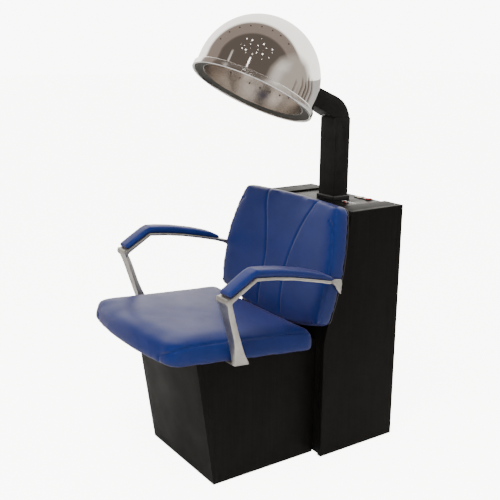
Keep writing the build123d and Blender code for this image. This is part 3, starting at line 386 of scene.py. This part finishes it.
def dress(material, names, ease=0.0):
    """Give CAD nodes their finish; with ease, a cleaned copy with eased edges stands for each."""
    for name in names:
        if not ease:
            node[name].data.materials.clear()
            node[name].data.materials.append(material)
            continue
        mesh = bpy.data.meshes.new(name + "_eased")
        work = bmesh.new()
        work.from_mesh(node[name].data)
        bmesh.ops.remove_doubles(work, verts=work.verts, dist=MERGE_GAP)
        bmesh.ops.dissolve_limit(work, angle_limit=FLAT_ANGLE, verts=work.verts, edges=work.edges)
        sharp = [e for e in work.edges if len(e.link_faces) == 2 and e.calc_face_angle(0) > EDGE_ANGLE]
        bmesh.ops.bevel(work, geom=sharp, offset=ease, offset_type="OFFSET", segments=2, profile=0.6,
                        affect="EDGES", clamp_overlap=True)
        bmesh.ops.triangulate(work, faces=[f for f in work.faces if len(f.verts) > 4])
        work.to_mesh(mesh)
        work.free()
        for face in mesh.polygons:
            face.use_smooth = True
        mesh.set_sharp_from_angle(angle=SHADING_ANGLE)
        eased = add_object(name + "_eased", mesh, material)
        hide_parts(name)
        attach(eased, node[name]["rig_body"])


BOARD_EASE = 0.0007
PLASTIC_EASE = 0.0006
LAMINATE_TONES = ((0.0048, 0.0045, 0.0042), (0.0070, 0.0065, 0.0060))
laminate = finish("laminate_black", LAMINATE_TONES, (0.44, 0.56), 42, stretch=(3.2, 3.2, 0.16), grain=120,
                  bump=0.10, depth=0.0002, sockets={"Specular IOR Level": 0.07})
dress(laminate, ["side_panel_left", "side_panel_right", "front_panel", "slant_panel", "cabinet_bottom",
                 "cheek_left", "cheek_right", "base_front", "base_side_left", "base_side_right"], BOARD_EASE)
dress(laminate, ["base_deck"])
stained_ply = finish("stained_ply", ((0.022, 0.018, 0.015), (0.045, 0.036, 0.029)), (0.6, 0.8), 40,
                     stretch=(1, 6, 6), grain=300, bump=0.3)
dress(stained_ply, ["blower_shelf", "base_rail", "seat_board", "back_board"])
back_plastic = finish("moulded_black", ((0.012, 0.012, 0.013), (0.022, 0.022, 0.023)), (0.4, 0.55), 30,
                      grain=900, bump=0.25, cells=True)
dress(back_plastic, ["back_shell", "floor_glides", "post_collar"], PLASTIC_EASE)

# ---------------------------------------------------------------- seat, backrest and arm pads
# Foam on plywood under blue vinyl. The covers are cut in panels and sewn: a boxing strip along the
# sides of seat and back, and two shaped seams down the backrest.
VINYL_TONES = ((0.0042, 0.0150, 0.098), (0.0058, 0.0185, 0.118))
THREAD_TONES = ((0.003, 0.016, 0.11), (0.006, 0.022, 0.14))
vinyl_sheen = {
    "Specular IOR Level": 0.19, "Sheen Weight": 0.07, "Sheen Roughness": 0.5,
    "Sheen Tint": (0.95, 0.68, 0.85, 1), "Coat Weight": 0.02, "Coat Roughness": 0.38,
}
vinyl = finish("blue_vinyl", VINYL_TONES, (0.34, 0.44), 14, grain=650, bump=0.20, depth=0.0005, cells=True,
               sockets=vinyl_sheen)
thread = finish("blue_thread", THREAD_TONES, (0.6, 0.75), 400, grain=2500, bump=0.4)
LEAN = math.radians(13)
TILT = math.radians(4.6)
seat_normal = Vector((0, math.sin(TILT), math.cos(TILT)))
back_normal = Vector((0, -math.cos(LEAN), math.sin(LEAN)))


def evaluated(obj):
    """A new mesh with the object's modifiers applied."""
    bpy.context.view_layer.update()
    return bpy.data.meshes.new_from_object(obj.evaluated_get(bpy.context.evaluated_depsgraph_get()))


def bake(obj):
    """Apply every modifier on a piece."""
    mesh = evaluated(obj)
    obj.modifiers.clear()
    old = obj.data
    obj.data = mesh
    bpy.data.meshes.remove(old)


def cast_from(name, source, material, voxel):
    """A closed, evenly meshed copy of a CAD solid."""
    mesh = node[source].data.copy()
    work = bmesh.new()
    work.from_mesh(mesh)
    bmesh.ops.remove_doubles(work, verts=work.verts, dist=MERGE_GAP)
    work.to_mesh(mesh)
    work.free()
    made = add_object(name, mesh, material)
    remesh = made.modifiers.new("remesh", "REMESH")
    remesh.mode = "VOXEL"
    remesh.voxel_size = voxel
    bake(made)
    return made


def relax(obj, rounds, factor=0.5):
    """Smooth a mesh evenly."""
    work = bmesh.new()
    work.from_mesh(obj.data)
    for _ in range(rounds):
        bmesh.ops.smooth_vert(work, verts=work.verts, factor=factor,
                              use_axis_x=True, use_axis_y=True, use_axis_z=True)
    work.to_mesh(obj.data)
    work.free()


PRESSURE = 4
COVER_STIFFNESS = 60
BEND_STIFFNESS = 8
EVENING_ROUNDS = 30
RELAX_ROUNDS = 4


def stuff(obj, held, cap, frames=20):
    """Blow the cover up over its foam: cloth under pressure, pinned where held, capped, evened out."""
    start = [v.co.copy() for v in obj.data.vertices]
    pins = obj.vertex_groups.new(name="held")
    pins.add([v.index for v in obj.data.vertices if held(v.co)], 1.0, "REPLACE")
    cloth = obj.modifiers.new("cover", "CLOTH")
    cloth.settings.use_pressure = True
    cloth.settings.uniform_pressure_force = PRESSURE
    cloth.settings.vertex_group_mass = "held"
    cloth.settings.effector_weights.gravity = 0
    cloth.settings.tension_stiffness = COVER_STIFFNESS
    cloth.settings.compression_stiffness = COVER_STIFFNESS
    cloth.settings.bending_stiffness = BEND_STIFFNESS
    cloth.settings.quality = 4
    scene = bpy.context.scene
    for number in range(1, frames + 1):
        scene.frame_set(number)
    swollen = evaluated(obj)
    obj.modifiers.clear()
    moves = np.array([(grown.co - old)[:] for grown, old in zip(swollen.vertices, start)])
    lengths = np.linalg.norm(moves, axis=1, keepdims=True)
    moves *= np.minimum(1.0, cap / np.maximum(lengths, 1e-9))
    ends = np.array([edge.vertices[:] for edge in obj.data.edges])
    share = np.bincount(ends.ravel(), minlength=len(moves))[:, None]
    for _ in range(EVENING_ROUNDS):
        total = np.zeros_like(moves)
        np.add.at(total, ends[:, 0], moves[ends[:, 1]])
        np.add.at(total, ends[:, 1], moves[ends[:, 0]])
        moves = 0.5 * moves + 0.5 * total / share
    for v, move in zip(obj.data.vertices, moves):
        v.co = start[v.index] + Vector(move)
    bpy.data.meshes.remove(swollen)
    obj.vertex_groups.clear()
    bpy.context.scene.frame_set(1)
    relax(obj, RELAX_ROUNDS)
    refine = obj.modifiers.new("refine", "SUBSURF")
    refine.levels = 1
    refine.render_levels = 1
    bake(obj)
    for face in obj.data.polygons:
        face.use_smooth = True


def cast_route(obj, route, direction, reach=0.2, pitch=0.0025):
    """Lay a route on a cover by shooting its points along a direction; gives places and normals."""
    tree = BVHTree.FromObject(obj, bpy.context.evaluated_depsgraph_get())
    direction = Vector(direction).normalized()
    places = []
    for a, b in zip(route, route[1:]):
        a, b = Vector(a), Vector(b)
        count = max(1, int((b - a).length / pitch))
        for k in range(count):
            spot = a.lerp(b, k / count) - direction * reach
            hit, normal, _, _ = tree.ray_cast(spot, direction)
            if hit is not None:
                places.append((hit, normal))
    return places


def curve_through(points, rounds=3):
    """Round a coarse route by corner cutting."""
    points = [Vector(p) for p in points]
    for _ in range(rounds):
        fresh = [points[0]]
        for a, b in zip(points, points[1:]):
            fresh += [a.lerp(b, 0.25), a.lerp(b, 0.75)]
        points = fresh + [points[-1]]
    return points


def press_seam(obj, places, depth=0.0030, width=0.0042):
    """Draw the cover in along a sewn seam."""
    tree = KDTree(len(places))
    for k, (spot, _) in enumerate(places):
        tree.insert(spot, k)
    tree.balance()
    for v in obj.data.vertices:
        _, k, far = tree.find(v.co)
        if far < width * 3:
            v.co -= places[k][1] * depth * math.exp(-((far / width) ** 2))


def stitch_tree(material):
    """Geometry nodes: short thread stitches at an even pitch along a line."""
    tree = bpy.data.node_groups.new("stitches", "GeometryNodeTree")
    tree.interface.new_socket("Geometry", in_out="INPUT", socket_type="NodeSocketGeometry")
    pitch = tree.interface.new_socket("Pitch", in_out="INPUT", socket_type="NodeSocketFloat")
    length = tree.interface.new_socket("Stitch Length", in_out="INPUT", socket_type="NodeSocketFloat")
    gauge = tree.interface.new_socket("Thread Radius", in_out="INPUT", socket_type="NodeSocketFloat")
    tree.interface.new_socket("Geometry", in_out="OUTPUT", socket_type="NodeSocketGeometry")
    new, link = tree.nodes.new, tree.links.new
    source, out = new("NodeGroupInput"), new("NodeGroupOutput")
    line = new("GeometryNodeMeshToCurve")
    even = new("GeometryNodeCurveToPoints")
    even.mode = "LENGTH"
    bead = new("GeometryNodeMeshCylinder")
    bead.inputs["Vertices"].default_value = 6
    place = new("GeometryNodeInstanceOnPoints")
    solid = new("GeometryNodeRealizeInstances")
    paint = new("GeometryNodeSetMaterial")
    paint.inputs["Material"].default_value = material
    link(source.outputs["Geometry"], line.inputs["Mesh"])
    link(line.outputs["Curve"], even.inputs["Curve"])
    link(source.outputs["Pitch"], even.inputs["Length"])
    link(source.outputs["Thread Radius"], bead.inputs["Radius"])
    link(source.outputs["Stitch Length"], bead.inputs["Depth"])
    link(even.outputs["Points"], place.inputs["Points"])
    link(even.outputs["Rotation"], place.inputs["Rotation"])
    link(bead.outputs["Mesh"], place.inputs["Instance"])
    link(place.outputs["Instances"], solid.inputs["Geometry"])
    link(solid.outputs["Geometry"], paint.inputs["Geometry"])
    link(paint.outputs["Geometry"], out.inputs["Geometry"])
    return tree, {"Pitch": pitch.identifier, "Stitch Length": length.identifier,
                  "Thread Radius": gauge.identifier}


stitching, stitch_sockets = stitch_tree(thread)


def grow(obj, tree, sockets, values):
    """Run a geometry nodes tree on an object and keep its result as plain mesh."""
    step = obj.modifiers.new("pattern", "NODES")
    for key, value in values.items():
        step[sockets[key]] = value
    step.node_group = tree
    for key, value in values.items():
        step[sockets[key]] = value
    bake(obj)


STITCH = {"Pitch": 0.0052, "Stitch Length": 0.0034, "Thread Radius": 0.00042}
STITCH_LIFT = 0.0009


def sew(name, places_list, body):
    """Thread stitches along one or more seams, as one piece."""
    points, edges = [], []
    for places in places_list:
        for k, (spot, normal) in enumerate(places):
            points.append(spot - normal * STITCH_LIFT)
            if k:
                edges.append((len(points) - 2, len(points) - 1))
    mesh = bpy.data.meshes.new(name)
    mesh.from_pydata(points, edges, [])
    made = add_object(name, mesh, thread)
    grow(made, stitching, stitch_sockets, STITCH)
    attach(made, body)


# ---------------------------------------------------------------- seat cover
# The seat's vinyl is blown up from the cushion's solid and held at its underside by the board,
# with one boxing seam along each side that turns down at the front corner.
COVER_MESH = 0.0068
SEAT_HELD = 0.016
SEAT_SWELL = 0.011
seat_cover = cast_from("seat_cover", "seat_cushion", vinyl, COVER_MESH)
seat_origin = Vector((0, 0.060, 0.410))
relax(seat_cover, 3)
stuff(seat_cover, lambda p: (p - seat_origin).dot(seat_normal) < SEAT_HELD, SEAT_SWELL)
seat_side = curve_through([
    (0, 0.052, 0.4745), (0, -0.025, 0.4830), (0, -0.206, 0.4975), (0, -0.330, 0.5060),
    (0, -0.395, 0.5080), (0, -0.425, 0.4990), (0, -0.440, 0.4800), (0, -0.440, 0.4640)])
seat_seams = []
for side in (1, -1):
    route = [(side * 0.32, p.y, p.z - 0.005) for p in seat_side]
    seat_seams.append(cast_route(seat_cover, route, (-side, 0, 0), reach=0.0))
for places in seat_seams:
    press_seam(seat_cover, places, depth=0.0038)
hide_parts("seat_cushion")
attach(seat_cover, "chair")
sew("seat_stitches", seat_seams, "chair")

# ---------------------------------------------------------------- backrest cover
# The backrest's vinyl is held round its rear edge, with two shaped seams down the front that draw
# together towards the seat, and a boxing seam down each side.
BACK_HELD = -0.036
BACK_SWELL = 0.007
back_cover = cast_from("back_cover", "back_cushion", vinyl, COVER_MESH)
relax(back_cover, 3)
back_origin = Vector((0, 0.078, 0.494))
stuff(back_cover, lambda p: (p - back_origin).dot(back_normal) < BACK_HELD, BACK_SWELL)
back_seams = []
for side in (1, -1):
    front = curve_through([
        (side * 0.134, 0, 0.850), (side * 0.122, 0, 0.815), (side * 0.098, 0, 0.765),
        (side * 0.074, 0, 0.700), (side * 0.060, 0, 0.645), (side * 0.056, 0, 0.600),
        (side * 0.060, 0, 0.540), (side * 0.064, 0, 0.470)])
    route = [(p.x, 0.2, p.z) for p in front]
    back_seams.append(cast_route(back_cover, route, (0, 1, 0), reach=0.6))
    edge = curve_through([
        (0, 0.163, 0.850), (0, 0.152, 0.825), (0, 0.146, 0.803), (0, 0.137, 0.769), (0, 0.128, 0.728),
        (0, 0.119, 0.690), (0, 0.110, 0.653), (0, 0.099, 0.606), (0, 0.093, 0.575), (0, 0.090, 0.551),
        (0, 0.087, 0.523), (0, 0.087, 0.490)])
    route = [(side * 0.34, p.y, p.z) for p in edge]
    back_seams.append(cast_route(back_cover, route, (-side, 0, 0), reach=0.0))
for places in back_seams:
    press_seam(back_cover, places)
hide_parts("back_cushion")
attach(back_cover, "chair")
sew("back_stitches", back_seams, "chair")

# ---------------------------------------------------------------- arm pads
# Each pad is a bent strip of foam skinned in the same vinyl; it sits on top of the casting's thin
# rail and is held to it.
PAD_MESH = 0.0035
PAD_SWELL = 0.0035
for name in ("left", "right"):
    pad = cast_from("pad_cover_" + name, "arm_pad_" + name, vinyl, PAD_MESH)
    relax(pad, 4)
    stuff(pad, lambda p: False, PAD_SWELL, frames=8)
    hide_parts("arm_pad_" + name)
    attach(pad, "chair")

# ---------------------------------------------------------------- armrests
# Each armrest is one aluminium casting, shot-blasted and clear lacquered: a thin rail under the
# pad, a leg that turns into a foot beside the seat, and a neck screwed to the backrest.
ALUMINIUM_TONES = ((0.40, 0.385, 0.355), (0.52, 0.505, 0.475))
CASTING_MESH = 0.0021
cast_aluminium = finish("cast_aluminium", ALUMINIUM_TONES, (0.34, 0.46), 25, grain=1400, bump=0.18,
                        depth=0.0003, sockets={"Metallic": 0.9})
for name in ("left", "right"):
    casting = cast_from("arm_casting_" + name, "arm_" + name, cast_aluminium, CASTING_MESH)
    relax(casting, 4)
    for face in casting.data.polygons:
        face.use_smooth = True
    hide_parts("arm_" + name)
    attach(casting, "chair")

# ---------------------------------------------------------------- steel frame, post and tilting arm
# Folded and welded sheet steel, powder coated satin black; links and screws are zinc plated.
STEEL_EASE = 0.0008
POWDER_TONES = ((0.0085, 0.0083, 0.0082), (0.0130, 0.0127, 0.0125))
powder_black = finish("powder_black", POWDER_TONES, (0.40, 0.52), 20, grain=1100, bump=0.30,
                      depth=0.0003, cells=True, sockets={"Specular IOR Level": 0.10})
dress(powder_black, ["post", "tilt_arm", "tilt_pin", "hood_saddle"], STEEL_EASE)
dress(powder_black, ["rear_panel"])
ZINC_TONES = ((0.46, 0.46, 0.45), (0.60, 0.60, 0.58))
zinc = finish("zinc_plate", ZINC_TONES, (0.28, 0.42), 60, grain=900, bump=0.12, sockets={"Metallic": 1.0})
dress(zinc, ["rear_panel_screws", "seat_screws", "back_bracket", "bracket_screws", "arm_screws",
             "top_frame", "post_bolts", "stop_screw", "blower_housing", "blower_shaft", "blower_motor",
             "heater_box"])
dark_steel = finish("dark_steel", ((0.05, 0.05, 0.05), (0.11, 0.11, 0.105)), (0.4, 0.55), 40, grain=700,
                    sockets={"Metallic": 0.8})
dress(dark_steel, ["blower_wheel", "heater_coils"])
insulator = finish("insulator", ((0.55, 0.52, 0.46), (0.70, 0.67, 0.60)), (0.5, 0.7), 50, grain=600)
dress(insulator, ["heater_frame", "thermal_cutout", "terminal_block"])

# ---------------------------------------------------------------- hood
# A spun metal dome, polished and chromed, stands over a perforated inner bowl; a rolled rim closes
# the edge and a dark flange joins dome and bowl.
CHROME_TONES = ((0.80, 0.78, 0.75), (0.86, 0.84, 0.81))
RIM_TONES = ((0.93, 0.92, 0.90), (0.98, 0.97, 0.95))
BOWL_TONES = ((0.76, 0.71, 0.66), (0.84, 0.79, 0.74))
OLIVE_TONES = ((0.022, 0.020, 0.014), (0.034, 0.031, 0.022))
chrome = finish("polished_chrome", CHROME_TONES, (0.03, 0.07), 8, grain=30, bump=0.03, depth=0.0004,
                sockets={"Metallic": 1.0})
rim_chrome = finish("rim_chrome", RIM_TONES, (0.10, 0.22), 90, grain=260, bump=0.12, depth=0.0003,
                    sockets={"Metallic": 1.0})
bowl_metal = finish("bowl_metal", BOWL_TONES, (0.16, 0.24), 10, grain=120, bump=0.05,
                    sockets={"Metallic": 0.95})
olive_flange = finish("olive_flange", OLIVE_TONES, (0.45, 0.55), 30, grain=600,
                      sockets={"Specular IOR Level": 0.2})
hood_side = Vector((1, 0, 0))


def turned(name, profile, steps, material):
    """A closed shape turned about the hood's axis from (radius, height) pairs."""
    work = bmesh.new()
    around = [hood_side * math.cos(2 * math.pi * k / steps) + hood_back * math.sin(2 * math.pi * k / steps)
              for k in range(steps)]
    rings = []
    for radius, height in profile:
        middle = HOOD_CENTRE + hood_up * height
        spots = [middle + aim * radius for aim in around] if radius > 1e-6 else [middle]
        rings.append([work.verts.new(spot) for spot in spots])
    loop = list(zip(rings, rings[1:]))
    if len(rings[0]) > 1:
        loop.append((rings[-1], rings[0]))
    for low, high in loop:
        for k in range(steps):
            j = (k + 1) % steps
            if len(low) == 1 and len(high) == 1:
                continue
            if len(low) == 1:
                work.faces.new((low[0], high[j], high[k]))
            elif len(high) == 1:
                work.faces.new((low[k], low[j], high[0]))
            else:
                work.faces.new((low[k], low[j], high[j], high[k]))
    bmesh.ops.recalc_face_normals(work, faces=work.faces)
    mesh = bpy.data.meshes.new(name)
    work.to_mesh(mesh)
    work.free()
    for face in mesh.polygons:
        face.use_smooth = True
    mesh.set_sharp_from_angle(angle=EDGE_ANGLE)
    return add_object(name, mesh, material)


def dome_arc(radius, rise, rings):
    """A quarter circle from the pole to the foot, as (radius, height) pairs."""
    turns = [math.pi / 2 * k / rings for k in range(rings + 1)]
    return [(radius * math.sin(turn), rise + radius * math.cos(turn)) for turn in turns]


def shell_profile(radius, wall, foot, rise, rings):
    """Outer and inner skin of a domed shell, from pole to foot and back."""
    inner = dome_arc(radius - wall, rise, rings)
    return dome_arc(radius, rise, rings) + [(radius, foot), (radius - wall, foot)] + inner[::-1]


SHELL_WALL = 0.0012
dome_shell = turned("dome_shell", shell_profile(DOME_R, SHELL_WALL, 0.0, DOME_RISE, 56), 144, chrome)
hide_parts("hood_dome")
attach(dome_shell, "hood")
RIM_R = 0.2017
RIM_LOW = -0.0035
RIM_HIGH = 0.0155
RIM_ROUND = 0.0026
rim_mid = (DOME_R + RIM_R) / 2
rim_half = (RIM_R - DOME_R) / 2
rim_profile = []
for corner_r, corner_h, start in ((rim_half - RIM_ROUND, RIM_HIGH - RIM_ROUND, 0),
                                  (-rim_half + RIM_ROUND, RIM_HIGH - RIM_ROUND, 90),
                                  (-rim_half + RIM_ROUND, RIM_LOW + RIM_ROUND, 180),
                                  (rim_half - RIM_ROUND, RIM_LOW + RIM_ROUND, 270)):
    for k in range(5):
        turn = math.radians(start + 22.5 * k)
        rim_profile.append((rim_mid + corner_r + RIM_ROUND * math.cos(turn),
                            corner_h + RIM_ROUND * math.sin(turn)))
rolled_rim = turned("rolled_rim", rim_profile, 144, rim_chrome)
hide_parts("hood_rim")
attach(rolled_rim, "hood")
dress(olive_flange, ["hood_flange"])

# ---------------------------------------------------------------- inner bowl
# A thin spun bowl inside the dome, drilled in rings to let the hot air through; the dark flange
# joins its edge to the dome.
BOWL_R = 0.168
BOWL_FOOT = 0.0076
HOLE_RADIUS = 0.003
BOWL_RISE = 0.045
HOLE_RINGS = ((14, 6), (26, 12), (38, 16), (50, 20), (62, 24), (73, 26), (84, 28))
bowl = turned("drilled_bowl", shell_profile(BOWL_R, SHELL_WALL, BOWL_FOOT, BOWL_RISE, 40), 120, bowl_metal)
bowl_centre = HOOD_CENTRE + hood_up * BOWL_RISE
drill_points, drill_aims = [], []
for polar, count in HOLE_RINGS:
    for k in range(count):
        turn = 2 * math.pi * (k + (polar % 4) / 4) / count
        lean = math.radians(polar)
        outward = hood_side * math.cos(turn) + hood_back * math.sin(turn)
        aim = outward * math.sin(lean) + hood_up * math.cos(lean)
        drill_points.append(bowl_centre + aim * BOWL_R)
        drill_aims.append(aim)
drill_mesh = bpy.data.meshes.new("drill_pattern")
drill_mesh.from_pydata(drill_points, [], [])
aims = drill_mesh.attributes.new("aim", "FLOAT_VECTOR", "POINT")
for k, aim in enumerate(drill_aims):
    aims.data[k].vector = aim
drill_pattern = add_object("drill_pattern", drill_mesh, bowl_metal)


def perforation_tree(pattern, material):
    """Geometry nodes: cut one round hole through the shell at each point of a pattern."""
    tree = bpy.data.node_groups.new("perforations", "GeometryNodeTree")
    tree.interface.new_socket("Geometry", in_out="INPUT", socket_type="NodeSocketGeometry")
    radius = tree.interface.new_socket("Hole Radius", in_out="INPUT", socket_type="NodeSocketFloat")
    tree.interface.new_socket("Geometry", in_out="OUTPUT", socket_type="NodeSocketGeometry")
    new, link = tree.nodes.new, tree.links.new
    source, out = new("NodeGroupInput"), new("NodeGroupOutput")
    points = new("GeometryNodeObjectInfo")
    points.inputs["Object"].default_value = pattern
    aim = new("GeometryNodeInputNamedAttribute")
    aim.data_type = "FLOAT_VECTOR"
    aim.inputs["Name"].default_value = "aim"
    turn = new("FunctionNodeAlignRotationToVector")
    turn.axis = "Z"
    drill = new("GeometryNodeMeshCylinder")
    drill.inputs["Vertices"].default_value = 16
    drill.inputs["Depth"].default_value = 0.012
    place = new("GeometryNodeInstanceOnPoints")
    solid = new("GeometryNodeRealizeInstances")
    cut = new("GeometryNodeMeshBoolean")
    cut.operation = "DIFFERENCE"
    paint = new("GeometryNodeSetMaterial")
    paint.inputs["Material"].default_value = material
    link(points.outputs["Geometry"], place.inputs["Points"])
    link(aim.outputs["Attribute"], turn.inputs["Vector"])
    link(turn.outputs["Rotation"], place.inputs["Rotation"])
    link(source.outputs["Hole Radius"], drill.inputs["Radius"])
    link(drill.outputs["Mesh"], place.inputs["Instance"])
    link(place.outputs["Instances"], solid.inputs["Geometry"])
    link(source.outputs["Geometry"], cut.inputs["Mesh 1"])
    link(solid.outputs["Geometry"], cut.inputs["Mesh 2"])
    link(cut.outputs["Mesh"], paint.inputs["Geometry"])
    link(paint.outputs["Geometry"], out.inputs["Geometry"])
    return tree, {"Hole Radius": radius.identifier}


drilling, drill_sockets = perforation_tree(drill_pattern, bowl_metal)
grow(bowl, drilling, drill_sockets, {"Hole Radius": HOLE_RADIUS})
bpy.data.objects.remove(drill_pattern)
bowl.data.set_sharp_from_angle(angle=math.radians(35))
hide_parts("inner_bowl")
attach(bowl, "hood")

# ---------------------------------------------------------------- control tray
# A gloss black moulded tray carries a timer knob, two lit rockers and a small red reset button.
GLOSS_TONES = ((0.005, 0.005, 0.0052), (0.008, 0.008, 0.0083))
KNOB_TONES = ((0.012, 0.012, 0.012), (0.02, 0.02, 0.02))
CREAM_TONES = ((0.80, 0.72, 0.52), (0.90, 0.83, 0.64))
RED_TONES = ((0.42, 0.025, 0.02), (0.60, 0.06, 0.05))
tray_gloss = finish("gloss_black", GLOSS_TONES, (0.22, 0.32), 12, grain=50, bump=0.03,
                    sockets={"Specular IOR Level": 0.03})
dress(tray_gloss, ["control_tray", "timer_body", "heat_switch_body", "power_switch_body", "reset_bezel",
                   "power_inlet"], 0.0005)
knob_plastic = finish("knob_plastic", KNOB_TONES, (0.3, 0.45), 40, grain=900, bump=0.2, cells=True)
dress(knob_plastic, ["timer_knob"], PLASTIC_EASE)
cream_lens = finish("cream_lens", CREAM_TONES, (0.15, 0.25), 60, grain=200, bump=0.05,
                    sockets={"Emission Color": (1.0, 0.82, 0.55, 1), "Emission Strength": 0.15})
dress(cream_lens, ["heat_rocker"], 0.0005)
red_lens = finish("red_lens", RED_TONES, (0.15, 0.25), 60, grain=200, bump=0.05,
                  sockets={"Emission Color": (1.0, 0.12, 0.06, 1), "Emission Strength": 0.08})
dress(red_lens, ["power_rocker", "reset_button"], 0.0004)

# white printed marks: two short lines of bars by the rockers, and a ring of ticks round the knob
PRINT_TONES = ((0.80, 0.80, 0.78), (0.88, 0.88, 0.86))
print_white = finish("print_white", PRINT_TONES, (0.5, 0.6), 80, grain=900, bump=0.1)
TRAY_TOP = 0.815
INK_LEVELS = (0.00002, 0.00022)


def printed(name, quads, material):
    """Thin ink patches on the tray, as one piece; a quad is its centre, half sizes and turn."""
    work = bmesh.new()
    for x, y, half_x, half_y, turn in quads:
        corners = []
        for level in INK_LEVELS:
            for sx, sy in ((-1, -1), (1, -1), (1, 1), (-1, 1)):
                dx, dy = sx * half_x, sy * half_y
                corners.append(work.verts.new((x + dx * math.cos(turn) - dy * math.sin(turn),
                                               y + dx * math.sin(turn) + dy * math.cos(turn),
                                               TRAY_TOP + level)))
        for face in ((3, 2, 1, 0), (4, 5, 6, 7), (0, 1, 5, 4), (1, 2, 6, 5), (2, 3, 7, 6), (3, 0, 4, 7)):
            work.faces.new([corners[k] for k in face])
    mesh = bpy.data.meshes.new(name)
    work.to_mesh(mesh)
    work.free()
    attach(add_object(name, mesh, material), "chair")


TIMER = (-0.095, 0.426)
TICKS = 12
BAR_PITCH = 0.0215
ticks = []
for k in range(TICKS + 1):
    turn = math.radians(-60 + 300 * k / TICKS)
    long_tick = k % 3 == 0
    reach = 0.0265 if long_tick else 0.0255
    ticks.append((TIMER[0] + reach * math.cos(turn), TIMER[1] + reach * math.sin(turn),
                  0.0022 if long_tick else 0.0013, 0.0005, turn))
bars = [(0.069 + BAR_PITCH * k, 0.352, 0.0085, 0.0022, 0.0) for k in range(3)]
bars += [(0.069 + BAR_PITCH * k, 0.344, 0.0085, 0.0009, 0.0) for k in range(3)]
bars += [(x, 0.450, 0.0060, 0.0008, 0.0) for x in (0.050, 0.088)]
printed("tray_print", ticks + bars, print_white)
